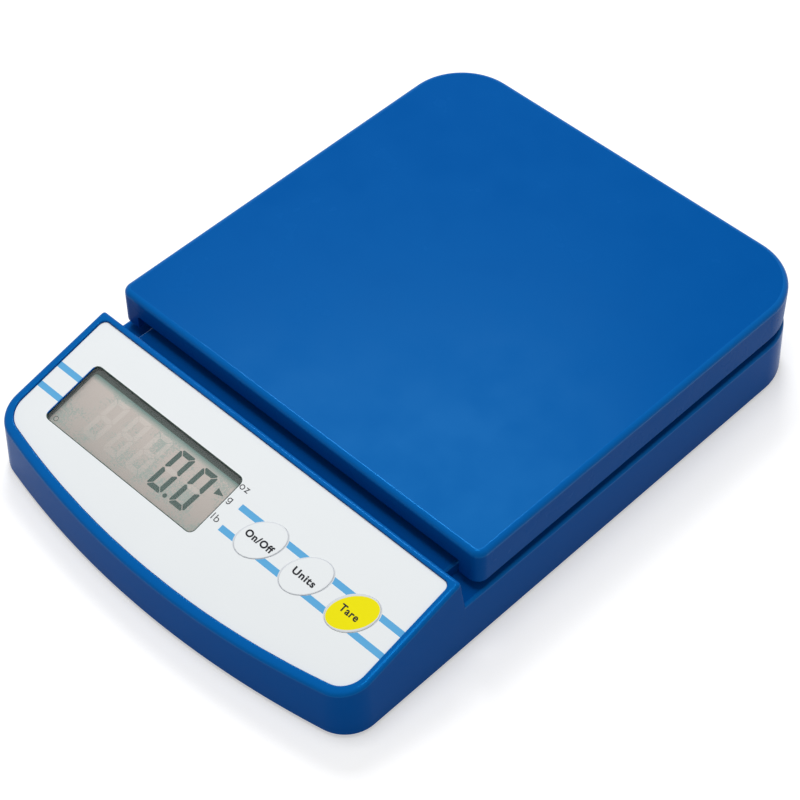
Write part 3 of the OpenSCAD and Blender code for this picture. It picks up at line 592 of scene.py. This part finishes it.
openings = bmesh.new()
seat = plate(WINDOW[0] + LENS_SEAT, WINDOW[1] + LENS_SEAT, 2.1, *WINDOW[3:])
prism(openings, seat, -LENS_DEPTH, 0.5, place=panel)
for x, y in CASE_SCREWS:
    prism(openings, disc(CASE_HOLE, x, y, 24), 0, 15)
for x, y in BOARD_SCREWS:
    prism(openings, disc(BOARD_HOLE, x, y, 24), -11, -4, place=panel)
prism(openings, plate(*CELL_OPENING), 10, 30)
to_rear = Matrix.Translation((INLET_X * MM, 0, INLET_Z * MM)) @ Matrix.Rotation(radians(-90), 4, "X")
prism(openings, disc(INLET_HOLE), 95, 110, place=to_rear)
case = combined(case, openings, "DIFFERENCE")
through = bmesh.new()
pane_hole = plate(WINDOW[0] + 1, WINDOW[1] + 1, WINDOW[2] + 0.5, *WINDOW[3:])
prism(through, pane_hole, *THROUGH, place=panel)
for number in range(3):
    prism(through, disc(1, steps=72), *THROUGH, place=panel @ oval(number, KEY_SPARE))
case = combined(case, through, "DIFFERENCE")
# Counts the faces that carry the painted edge highlight.
print("faces of the case with the painted edge highlight:", sum(f.material_index == EDGE_HIGHLIGHT for f in case.faces))
piece(case, "case_upper", "case", [case_abs, glossy_edge_painted_highlight], ["top_case"])

# %% [markdown]
# ## The weighing pan
# A moulding like the case: a rounded block, hollowed from below, with its front skirt cut short
# between two tabs so that it clears the console. Its upper edge is rounded by 1.8 mm, and a
# softbox draws its line along it, over a lighter blue that paints a highlight there.

# %% Pan block, its hollow and its notch
PAN_SIDE, PAN_FRONT, PAN_REAR, PAN_WALL = 72.5, -43.8, 102.9, 2
PAN_SMALL_R, PAN_LARGE_R = 3.5, 20
PAN_LOW, PAN_RISE, HOLLOW_LOW, HOLLOW_RISE = 22.65, 12.15, 20, 12.6
NOTCH = (130.6, 10, 0.8, 0, 22.45)


def pan_outline(inset):
    """The pan's outline in plan, moved inward; only its rear corners are large."""
    side, front, rear = PAN_SIDE - inset, PAN_FRONT + inset, PAN_REAR - inset
    small, large = PAN_SMALL_R - inset, PAN_LARGE_R - inset
    return (small - side, front), [
        (side - small, front), (side - small, front + small, 90, 8), (side, rear - large),
        (side - large, rear - large, 90, 20), (large - side, rear), (large - side, rear - large, 90, 20),
        (-side, front + small), (small - side, front + small, 90, 8)]


pan = bmesh.new()
top = fill(pan, draw(pan, *pan_outline(0), up_by(PAN_LOW)))
grow(pan, top, 0, PAN_RISE)
top.material_index = WORN_TOP
# The rounding of the top's edge gets the lighter blue that paints a highlight along it.
round_edges(pan, top.edges, 1.8, 8, EDGE_HIGHLIGHT)
close(pan)
inside = bmesh.new()
top = fill(inside, draw(inside, *pan_outline(PAN_WALL), up_by(HOLLOW_LOW)))
grow(inside, top, 0, HOLLOW_RISE)
round_edges(inside, top.edges, 1, 3)
close(inside)
pan = combined(pan, inside, "DIFFERENCE")
notch = bmesh.new()
prism(notch, plate(*NOTCH), 40, 46, place=Matrix.Rotation(radians(90), 4, "X"))
pan = combined(pan, notch, "DIFFERENCE")
print("hollow pan:", len(pan.faces), "faces")

# %% [markdown]
# Ribs and four sockets for the carrier's pegs stand under the pan's roof. The ribs cross each
# other, so the boolean has to look for that within one mesh too.

# %% Ribs and sockets
RIB_W, RIB_LOW, RIB_TOP, RIBS = 1.2, 30.1, 33.5, ((23, 70), (62, 62))
PEGS = [(x, PAN_MID_Y + y) for x in (-46, 46) for y in (-46, 46)]
SOCKET, SOCKET_LOW, BORE, BORE_TOP = 5, 27.5, 3.3, 32.2

ribs = bmesh.new()
for s in (-1, 1):
    for off, half in RIBS:
        prism(ribs, plate(RIB_W, 2 * half, 0.3, s * off, PAN_MID_Y, 1), RIB_LOW, RIB_TOP)
        prism(ribs, plate(2 * half, RIB_W, 0.3, 0, PAN_MID_Y + s * off, 1), RIB_LOW, RIB_TOP)
for x, y in PEGS:
    prism(ribs, disc(SOCKET, x, y), SOCKET_LOW, RIB_TOP)
pan = combined(pan, ribs, "UNION", crossing=True)
bores = bmesh.new()
for x, y in PEGS:
    prism(bores, disc(BORE, x, y), 26, BORE_TOP)
pan = combined(pan, bores, "DIFFERENCE")
piece(pan, "pan_shell", "weighing_pan", [pan_abs, glossy_edge_painted_highlight, worn_abs], ["pan"])

# %% [markdown]
# ## The front film
# A polyester sheet 0.25 mm thick, printed from behind and glued into the recess. Its print could
# be an image, but faces with an ink of their own stay sharp at any size: the flat sheet is filled
# round its holes, planes cut it along the stripes, and each face gets its ink by place. What a
# stripe doesn't need of those cuts is dissolved again.

# %% Film with stripes
FILM, FILM_T, FILM_IN, FILM_REAR = 0.7, 0.25, 3.5, 2.2
STRIPES = [(-21.95, -19.95), (-30.05, -28.05)]
STRIPE_X, WINDOW_LEFT = 7.2, -60.3
RING_SPARE, RING_LONGER, RING_TURN = 0.2, 0.25, 44
WHITE, STRIPE, BORDER, RING, BLUE = range(5)

film = bmesh.new()
edges = draw(film, *console_outline(FILM_IN, CONSOLE_Y - FILM_REAR * ALONG), over_panel(FILM))
around = plate(WINDOW[0] + 0.6, WINDOW[1] + 0.5, 2.05, WINDOW[3] - 0.05, WINDOW[4])
edges += draw(film, *around, on_panel(FILM))
for number in range(3):
    ring = on_panel(FILM) @ oval(number, RING_SPARE, RING_LONGER, RING_TURN)
    edges += draw(film, *disc(1, steps=72), ring)
fill_round_holes(film, edges, panel_up)
for v in [v for band in STRIPES for v in band]:
    cut_along(film, on_panel(FILM) @ Vector((0, v * MM, 0)), panel.to_3x3() @ Vector((0, 1, 0)))
cut_along(film, (STRIPE_X * MM, 0, 0), (1, 0, 0))
to_flat = on_panel(FILM).inverted()
for face in film.faces:
    at = to_flat @ face.calc_center_median() / MM
    striped = any(low < at.y < high for low, high in STRIPES) and (at.x < WINDOW_LEFT or at.x > STRIPE_X)
    face.material_index = STRIPE if striped else WHITE
bmesh.ops.dissolve_limit(film, angle_limit=radians(1), verts=film.verts[:], edges=film.edges[:],
                         delimit={"MATERIAL"})
print("striped film:", len(film.faces), "faces")

# %% [markdown]
# The window has a thin dark border and each key a light grey ring, which paints the shade of the
# key's raised edge. The holes in the sheet are as large as these, so each is filled between the
# hole's edges and a smaller outline. The keys' rings are turned by 44 degrees, as in the photograph.
# Left of the window the border is blue.

# %% Border and rings
RING_REACH = 8.3


def window_edge(at):
    """Whether a point of the panel lies in the window or within half a millimetre of it."""
    return abs(at.x - WINDOW[3]) < WINDOW[0] / 2 + 0.5 and abs(at.y - WINDOW[4]) < WINDOW[1] / 2 + 0.5


border = [e for e in film.edges if e.is_boundary and all(window_edge(to_flat @ v.co / MM) for v in e.verts)]
dark_and_grey_bands = [(BORDER, border + draw(film, *plate(*WINDOW), on_panel(FILM)))]
for number in range(3):
    hole = draw(film, *disc(1, steps=72), on_panel(FILM) @ oval(number, 0.12))
    centre = on_panel(FILM) @ oval(number, 0) @ Vector((0, 0, 0))
    ring = [e for e in film.edges if e.is_boundary and (e.verts[0].co - centre).length < RING_REACH * MM]
    dark_and_grey_bands.append((RING, ring + hole))
    print("key hole", number, "and its ring:", len(hole), "+", len(ring), "edges")
# The dark border is filled here, and the light grey rings that paint the shade of the keys' raised edges.
for ink, loops in dark_and_grey_bands:
    for face in fill_round_holes(film, loops, panel_up):
        left = (to_flat @ face.calc_center_median()).x < WINDOW_LEFT * MM
        face.material_index = BLUE if ink == BORDER and left else ink
thicken(film, -panel_up * FILM_T * MM)
piece(film, "front_film", "case", [film_white, ink_pale_blue, dark_border_and_shadow, grey_key_edge_shade, case_abs],
      ["overlay"])

# %% [markdown]
# ## The keys
# Each key is moulded with a flange under the case's wall, which keeps it from falling out, and a
# stem that presses a switch. Its top stands 0.2 mm proud of the film, with a light grey ring at its
# edge that paints the shade of that raised edge. The ring is an inset of the top and the bevel round
# it, so it follows the oval by itself.

# %% Key caps
KEY_TOP, KEY_DEEP, FLANGE_DEEP, STEM_DEEP, RING_W = 0.5, 3, 4, 5.25, 0.25


def key_cap(number, name, body, cap, narrower):
    """A key's cap with a light grey ring at its edge, which paints the shade of that raised edge; the field
    inside is made narrower by a factor.
    """
    bm = bmesh.new()
    place = panel @ oval(number, 0.08)
    top = fill(bm, draw(bm, *disc(1, steps=72), place @ up_by(-KEY_DEEP)), panel_up)
    bmesh.ops.inset_region(bm, faces=[top], thickness=0, depth=(KEY_DEEP - KEY_TOP) * MM, use_boundary=True)
    bmesh.ops.inset_region(bm, faces=[top], thickness=RING_W * MM, depth=0, use_boundary=True)
    bmesh.ops.scale(bm, vec=(1, narrower, 1), space=place.inverted(), verts=top.verts[:])
    # The ring and the bevel round the top get the light grey that paints the shade of the raised edge.
    for edge in top.edges:
        for face in edge.link_faces:
            if face is not top:
                face.material_index = 1
    outer = [e for e in bm.edges if e.calc_face_angle(0) > 1 and len(e.link_faces) == 2
             and abs((to_flat @ e.verts[0].co).z / MM - (FILM - KEY_TOP)) < 0.01]
    round_edges(bm, outer, 0.2, 3, 1)
    close(bm)
    prism(bm, disc(1, steps=72), -FLANGE_DEEP, -KEY_DEEP, place=panel @ oval(number, 1.1))
    prism(bm, disc(2), -STEM_DEEP, -FLANGE_DEEP, place=panel @ key_middle(number))
    piece(bm, name + "_cap", body, [cap, grey_key_edge_shade], [name])


key_cap(0, "key_on_off", "on_off_key", film_white, 0.99)
key_cap(1, "key_units", "units_key", film_white, 0.99)
key_cap(2, "key_tare", "tare_key", ink_yellow, 0.91)

# %% [markdown]
# ## Lettering
# The words are screen printed, so they are flat ink a few hundredths of a millimetre thick. Text
# objects give the letters; they are made a mesh first, and then the mesh is set in place. An
# offset thickens the strokes of the keys' words and thins those of the units a little.

# %% Lettering
INK = 0.03


def lettering(name, text, body, left, lower, width, height, depth, bold=0.0, apart=1.0):
    """Prints text on the panel: its left and lower edge, width and height in mm."""
    curve = bpy.data.curves.new(name, "FONT")
    curve.body, curve.size, curve.offset, curve.space_character = text, 1.0, bold, apart
    words = bpy.data.objects.new(name, curve)
    flat = bpy.data.meshes.new_from_object(words, depsgraph=bpy.context.evaluated_depsgraph_get())
    bm = bmesh.new()
    bm.from_mesh(flat)
    bpy.data.objects.remove(words)
    bpy.data.meshes.remove(flat)
    xs = [v.co.x for v in bm.verts]
    ys = [v.co.y for v in bm.verts]
    tall = height * MM / (max(ys) - min(ys))
    wide = width * MM / (max(xs) - min(xs))
    place = (on_panel(depth - 0.01) @ Matrix.Translation((left * MM, lower * MM, 0))
             @ Matrix.Diagonal((wide, tall, 1, 1)) @ Matrix.Translation((-min(xs), -min(ys), 0)))
    bmesh.ops.transform(bm, matrix=place, verts=bm.verts)
    thicken(bm, panel_up * INK * MM)
    piece(bm, name, body, [ink_black])


lettering("word_on_off", "On/Off", "on_off_key", 14.1, -26.4, 10.4, 2.3, KEY_TOP, 0.035, 1.12)
lettering("word_units", "Units", "units_key", 32.85, -26.5, 8.2, 2.3, KEY_TOP, 0.03, 1.12)
lettering("word_tare", "Tare", "tare_key", 50.95, -26.4, 6.5, 2.3, KEY_TOP, 0.024, 1.12)
lettering("unit_oz", "oz", "case", 2.4, -17.0, 3.4, 1.6, FILM, -0.005, 1.1)
lettering("unit_lb", "lb", "case", 2.8, -28.8, 2.6, 2.2, FILM, -0.008, 1.15)

# %% [markdown]
# The letter g of the units has a single storey, which the built-in font doesn't have, so the pen
# draws it: a ring for its bowl, and a stem that ends in a hook.

# %% The letter g
BOWL_X, BOWL_Y, HOOK_Y = 3.35, -21.3, -22.0
STEM_LEFT, STEM_RIGHT, STEM_TOP = 3.85, 4.1, -20.6

letter = bmesh.new()
on_film = on_panel(FILM - 0.01)
bowl = [e for radius in (0.72, 0.48) for e in draw(letter, *disc(radius, BOWL_X, BOWL_Y, 24), on_film)]
fill_round_holes(letter, bowl, panel_up)
hook = [(STEM_LEFT, HOOK_Y), (BOWL_X, HOOK_Y, -150, 10), (2.7, -22.37), (BOWL_X, HOOK_Y, 150, 10),
        (STEM_RIGHT, STEM_TOP), (STEM_LEFT, STEM_TOP)]
fill(letter, draw(letter, (STEM_LEFT, STEM_TOP), hook, on_film), panel_up)
thicken(letter, panel_up * INK * MM)
piece(letter, "unit_g", "case", [ink_black])

# %% [markdown]
# ## Window, gasket and display
# The acrylic pane lies under the film. A foam gasket round the window, which keeps its CAD shape,
# keeps dust off the display and hides its edge, so a dark band shows through the pane.

# %% Window pane
pane = bmesh.new()
outline = plate(WINDOW[0] + 3, WINDOW[1] + 3, 2, *WINDOW[3:])
top = fill(pane, draw(pane, *outline, on_panel(LENS_DEPTH)), panel_up)
grow(pane, top, 0, 1)
round_edges(pane, top.edges, 0.1, 2)
close(pane)
piece(pane, "window_lens", "case", [clear_acrylic], ["display_window"])

# %% [markdown]
# The display is two panes of glass with liquid crystal between them. The upper one is longer by
# the ledge that carries its contacts.

# %% Display glass
LCD, GLASS_T, GLASS_W = 3.05, 1.3, 67
glass = bmesh.new()
prism(glass, plate(GLASS_W, 26, 0.5, *WINDOW[3:]), -(LCD + GLASS_T), -LCD, place=panel)
lower = plate(GLASS_W, 23.4, 0.5, WINDOW[3], WINDOW[4] + 1.3)
prism(glass, lower, -(LCD + 2 * GLASS_T), -(LCD + GLASS_T), place=panel)
piece(glass, "lcd_panel", "case", [polariser], ["lcd_glass"])

# %% [markdown]
# The display isn't one even grey. A painted shade darkens it towards its front edge, a teal band
# along its rear edge is partly its own tint and partly a painted shadow of the rim, and it is
# faintly mottled. Each of the three is a colour laid over the finish by a factor: two ramps along
# y, and a product of two noises.

# %% Shades of the display
def layered(made, factor, colour):
    """Lays a second colour over a finish where factor is high."""
    tree = made.node_tree
    shader = next(n for n in tree.nodes if n.type == "BSDF_PRINCIPLED")
    under = shader.inputs["Base Color"].links[0].from_socket
    over = add_node(tree, "Mix", {0: factor, 6: under, 7: srgb(colour)}, data_type="RGBA")
    tree.links.new(over.outputs[2], shader.inputs["Base Color"])


def ramped(tree, value, low, high, most):
    """What rises from 0 to most while value goes from low to high."""
    return add_node(tree, "MapRange", {"Value": value, "From Min": low, "From Max": high, "To Max": most})


for finish, most in ((polariser, 0.65), (liquid_crystal_off, 0.25)):
    tree = finish.node_tree
    place = add_node(tree, "TexCoord", {}).outputs["Object"]
    along = add_node(tree, "SeparateXYZ", {"Vector": place}).outputs["Y"]
    spots = add_node(tree, "TexNoise", {"Vector": place, "Scale": 1 / (0.55 * MM), "Detail": 3.0})
    patches = add_node(tree, "TexNoise", {"Vector": place, "Scale": 1 / (9 * MM), "Detail": 1.0})
    spotted = add_node(tree, "Math", {0: spots, 1: patches}, operation="MULTIPLY")
    # Painted shade: darker towards the display's front edge.
    layered(finish, ramped(tree, along, -0.067, -0.086, 0.6), "a89c98")
    # Teal along the rear edge: partly the display's own tint, partly a painted shadow of the rim.
    layered(finish, ramped(tree, along, -0.0672, -0.0652, 0.9), "65938e")
    layered(finish, ramped(tree, spotted, 0.24, 0.34, most), "96a9a5")
    print(finish.name, "has", len(tree.nodes), "nodes")

# %% [markdown]
# At rest a segment is nearly clear, and driven it turns dark. Each digit has seven segments with
# mitred ends, in a box that leans to the right by some degrees, and two of the five are driven
# here. Each segment is drawn once, and mirrored for its twins.

# %% Seven segments
SEGMENT, GAP, CHAMFER, LEAN = 1.62, 0.18, 0.82, 3.5
DIGIT_X = [-48.8, -39.6, -30.4, -21.05, -11.75]
DIGIT_W, DIGIT_TOP, DIGIT_LOW = 6.1, -17.75, -32.2
RAISED = 0.02


def digit(bm, lit, place):
    """The segments that lit names about a digit's middle: a to f clockwise from the top, and g across."""
    x, y, s, g, c = DIGIT_W / 2, (DIGIT_TOP - DIGIT_LOW) / 2, SEGMENT, GAP, CHAMFER
    level = [(g + s - x, y - s), (x - s - g, y - s), (x - c / 2 - g, y - c / 2), (x - c, y), (c - x, y),
             (c / 2 + g - x, y - c / 2)]
    upright = [(-x, s / 4), (-x, y - c), (c / 2 - x, y - c / 2 - g), (s - x, y - s - g), (s - x, s / 2 + g),
               (s / 3 - x, g)]
    across = [(g - x + s / 3, 0), (g - x + s, s / 2), (x - s - g, s / 2), (x - s / 3 - g, 0),
              (x - s - g, -s / 2), (g - x + s, -s / 2)]
    bars = {"a": (level, 1, 1), "b": (upright, -1, 1), "c": (upright, -1, -1), "d": (level, 1, -1),
            "e": (upright, 1, -1), "f": (upright, 1, 1), "g": (across, 1, 1)}
    for name in lit:
        corners, flip_x, flip_y = bars[name]
        start, *moves = [(flip_x * cx, flip_y * cy) for cx, cy in corners + corners[:1]]
        grow(bm, fill(bm, draw(bm, start, moves, place), panel_up), 0, RAISED)


def leaning(left):
    """Place of a digit's middle on the display's face, with its lean."""
    shear = Matrix.Identity(4)
    shear[0][1] = tan(radians(LEAN))
    middle = Vector((left + DIGIT_W / 2, (DIGIT_TOP + DIGIT_LOW) / 2, 0)) * MM
    return on_panel(LCD) @ Matrix.Translation(middle) @ shear


dark, faint = bmesh.new(), bmesh.new()
for number, left in enumerate(DIGIT_X):
    driven = "abcdef" if number > 2 else ""
    digit(dark, driven, leaning(left))
    digit(faint, [s for s in "abcdefg" if s not in driven], leaning(left))
print("segments:", len(dark.faces), "faces driven and", len(faint.faces), "at rest")

# %% [markdown]
# Three small signs go with the digits: the point, an arrow at the unit in use, and a flat ring in
# the corner. Round them a dark mask hides the glass's border; its opening is a little smaller than
# the window, so that it shows as a dark edge at the rear and on the left, and its wider part at the
# rear is a painted shadow of the window's rear edge.

# %% Signs and mask
POINT = disc(0.72, -13.9, -31.5, 16)
ARROW = (-3.1, -22.4), [(-0.1, -21.25), (-3.1, -20.1), (-3.1, -22.4)]
RING_X, RING_Y = -58.3, -33.9
# At the rear the mask reaches further in, and most of that width is a painted shadow of the window's edge.
MASK_LEFT, MASK_REAR_SHADOW = 0.4, 1.65

for outline in (POINT, ARROW):
    grow(dark, fill(dark, draw(dark, *outline, on_panel(LCD)), panel_up), 0, RAISED)
close(dark)
close(faint)
mark = [e for radius in (0.85, 0.65)
        for e in draw(dark, *disc(radius, RING_X, RING_Y, 20), on_panel(LCD - RAISED))]
fill_round_holes(dark, mark, panel_up)
shadow_mask = bmesh.new()
around = draw(shadow_mask, *plate(65, 24, 0.5, *WINDOW[3:]), on_panel(LCD - 0.01))
inner = plate(WINDOW[0] - MASK_LEFT, WINDOW[1] - MASK_REAR_SHADOW, 1.2,
              WINDOW[3] + MASK_LEFT / 2, WINDOW[4] - MASK_REAR_SHADOW / 2)
around += draw(shadow_mask, *inner, on_panel(LCD - 0.01))
fill_round_holes(shadow_mask, around, panel_up)
piece(shadow_mask, "display_shadow_mask", "case", [dark_border_and_shadow])
piece(dark, "display_digits", "case", [liquid_crystal])
piece(faint, "display_ghosts", "case", [liquid_crystal_off])

# %% [markdown]
# ## Two colours on one node
# The leads and the chip parts each share a node but not a colour. Their colours change at a
# plane that no solid crosses, so a material reads the place and picks one of the two.

# %% Two-colour finishes
def parted(name, low_colour, high_colour, axis, at, roughness, **shine):
    """A surface with one colour below a place along an axis of the object, in mm, and one above it."""
    made = surface(name, low_colour, low_colour, roughness, **shine)
    tree = made.node_tree
    where = add_node(tree, "TexCoord", {})
    apart = add_node(tree, "SeparateXYZ", {"Vector": where.outputs["Object"]})
    side = add_node(tree, "Math", {0: apart.outputs[axis], 1: at * MM}, operation="GREATER_THAN")
    layered(made, side, high_colour)
    return made


pvc_pair = parted("PVC wire insulation, black and red", "1f1f21", "b01c1c", "X", -24.1, 0.45)
board_finish = parted("ceramic chips and aluminium cans", "b58f55", "b4b8c4", "Y", -82, 0.35)
print(pvc_pair.name, "and", board_finish.name)

# %% [markdown]
# ## AA cells
# A cell is turned too: a steel can in a plastic sleeve that wraps a little way over its ends, and
# a button at one end. The same half section is spun for all three, and one is turned round.

# %% AA cells
sleeve = surface("PVC shrink sleeve, blue", "2f6ea0", "2a6594", 0.3, 0.6, 0.004, IOR=1.53)


def turned(outline, place, steps):
    """A solid of revolution: half its section is drawn in x and z, and spun round z."""
    bm = bmesh.new()
    profile = draw(bm, *outline, Matrix.Rotation(radians(90), 4, "X"))
    bmesh.ops.spin(bm, geom=corners_of(profile) + profile, cent=(0, 0, 0), axis=(0, 0, 1),
                   angle=radians(360), steps=steps, use_merge=True)
    bmesh.ops.remove_doubles(bm, verts=bm.verts, dist=0.001 * MM)
    bmesh.ops.recalc_face_normals(bm, faces=bm.faces)
    bmesh.ops.transform(bm, matrix=place, verts=bm.verts)
    return bm


AA_HALF, AA_R, SLEEVE_IN = 25.25, 7.15, 6.2
BAY_Y, CELL_PITCH, CELL_Z = -13, 15, 11.4
CELL = (0, -AA_HALF), [(5.4, -AA_HALF), (5.6, -AA_HALF + 0.5), (6.3, -AA_HALF + 0.5),
                       (6.3, -AA_HALF + AA_R - 5.8, 90, 5), (AA_R, AA_HALF - 1 - 0.85),
                       (AA_R - 0.85, AA_HALF - 1 - 0.85, 90, 5), (5.2, AA_HALF - 1), (5.0, AA_HALF - 1.3),
                       (2.7, AA_HALF - 1.3), (2.7, AA_HALF - 0.4), (2.3, AA_HALF - 0.4, 90, 4), (0, AA_HALF)]
for number, way in enumerate((1, -1, 1)):
    middle = Matrix.Translation((0, (BAY_Y + CELL_PITCH * (number - 1)) * MM, CELL_Z * MM))
    lying = middle @ Matrix.Rotation(radians(90 * way), 4, "Y")
    cell = turned(CELL, lying, 48)
    for face in cell.faces:
        centre = face.calc_center_median()
        off_axis = Vector((0, centre.y - lying.translation.y, centre.z - lying.translation.z)).length
        face.material_index = 1 if off_axis < SLEEVE_IN * MM else 0
    name = f"battery_{number + 1}"
    piece(cell, name + "_cell", "case", [sleeve, nickel_steel], [name])

# %% [markdown]
# ## Feet
# A rubber foot has a rounded lower edge, and a shallow hollow that helps it to cling to a table.

# %% Feet
FOOT_SECTION = (0, 0.5), [(3.4, 0.5), (3.9, 0.0), (6.3, 0), (6.3, 0.7, 90, 5), (7.0, 2.7), (0, 2.7)]
for name, x, y in (("foot_front_left", -60, -80), ("foot_front_right", 60, -80),
                   ("foot_rear_left", -60, 78), ("foot_rear_right", 60, 78)):
    foot = turned(FOOT_SECTION, Matrix.Translation((x * MM, y * MM, 0)), 40)
    piece(foot, name + "_rubber", "case", [foot_rubber], [name])

# %% [markdown]
# ## Finishes for the CAD solids that stay
# The inner pieces keep their CAD shapes, and each gets the finish of the real material.

# %% Finishes of the CAD nodes
finishes = {
    case_abs: ["bottom_case", "battery_door"], carrier_abs: ["pan_carrier"], gasket_foam: ["display_gasket"],
    nylon_white: ["lcd_frame", "cable_sockets", "cable_plugs"], elastomer: ["lcd_connector"],
    nylon_black: ["switch_on_off", "switch_units", "switch_tare", "plunger_on_off", "plunger_units",
                  "plunger_tare", "dc_inlet"],
    zinc_steel: ["case_screws", "board_screws", "base_screws", "carrier_screws", "overload_stop"],
    solder_mask: ["main_board"], epoxy_black: ["processor", "converter_chip"], board_finish: ["board_parts"],
    milled_aluminium: ["load_cell", "lower_spacer", "upper_spacer"], silicone_white: ["gauge_covers"],
    pvc_grey: ["load_cell_cable"], pvc_pair: ["battery_leads"], pvc_black: ["inlet_leads"],
    nickel_steel: ["battery_springs", "battery_plates"], foot_rubber: ["pan_cushions"]}
dressed = 0
for finish, names in finishes.items():
    for name in names:
        for slot in bpy.data.objects[name].material_slots:
            slot.material = finish
        dressed += 1
print(dressed, "CAD nodes dressed")

# %% [markdown]
# ## Lights and floor
# One softbox hangs over the console and shades the display's rear edge. The other stands behind
# the balance on the left: seen from the camera its mirror image lies just in front of the pan, so
# a satin sheen fades over the pan from there and a thin line of light follows the edges. The white
# room fills the walls. It is white to the camera and to the rays that gloss and glass send, and
# dimmer to all others, so it stays white without more light on the object.

# %% Room and softboxes
SEEN = ("Is Camera Ray", "Is Glossy Ray", "Is Transmission Ray")

world = bpy.data.worlds.new("white room")
bpy.context.scene.world = world
tree = empty_tree(world)
room = add_node(tree, "Background", {"Color": srgb("ffffff"), "Strength": 0.37})
white = add_node(tree, "Background", {"Color": srgb("ffffff"), "Strength": 1.0})
both = add_node(tree, "MixShader", {0: any_ray(tree, *SEEN), 1: room, 2: white})
add_node(tree, "OutputWorld", {"Surface": both})

for name, at, size, watts in (("softbox above", (-0.045, -0.07, 1.05), 0.36, 3.5),
                              ("softbox behind", (-0.47, 0.46, 1.01), 0.36, 6.0)):
    lamp_data = bpy.data.lights.new(name, "AREA")
    lamp_data.shape, lamp_data.size, lamp_data.energy = "SQUARE", size, watts
    lamp = in_scene(name, lamp_data)
    lamp.location = at
    lamp.rotation_euler = Vector(at).to_track_quat("Z", "Y").to_euler()
    print(name, watts, "W")

# %% [markdown]
# The floor is a sheet of pale paper. It catches the object's soft shadow, and a glow that only the
# same kinds of rays see lifts the rest of it to white.

# %% Floor
sweep = bpy.data.materials.new("white paper sweep")
tree = empty_tree(sweep)
place = add_node(tree, "TexCoord", {})
fibres = add_node(tree, "TexNoise", {"Vector": place.outputs["Object"], "Scale": 1 / (2 * MM)})
tint = add_node(tree, "Mix", {0: fibres, 6: srgb("dadada"), 7: srgb("dddddd")}, data_type="RGBA")
paper = add_node(tree, "BsdfDiffuse", {"Color": tint.outputs[2]})
lift = add_node(tree, "Math", {0: any_ray(tree, *SEEN), 1: 0.45}, operation="MULTIPLY")
glow = add_node(tree, "Emission", {"Color": srgb("ffffff"), "Strength": lift})
sheet = add_node(tree, "AddShader", {0: paper, 1: glow})
add_node(tree, "OutputMaterial", {"Surface": sheet})

floor_bm = bmesh.new()
bmesh.ops.create_grid(floor_bm, x_segments=1, y_segments=1, size=4)
floor_mesh = bpy.data.meshes.new("floor")
floor_bm.to_mesh(floor_mesh)
floor_bm.free()
floor = in_scene("floor", floor_mesh)
floor_mesh.materials.append(sweep)
print("floor:", len(tree.nodes), "nodes in its paper")
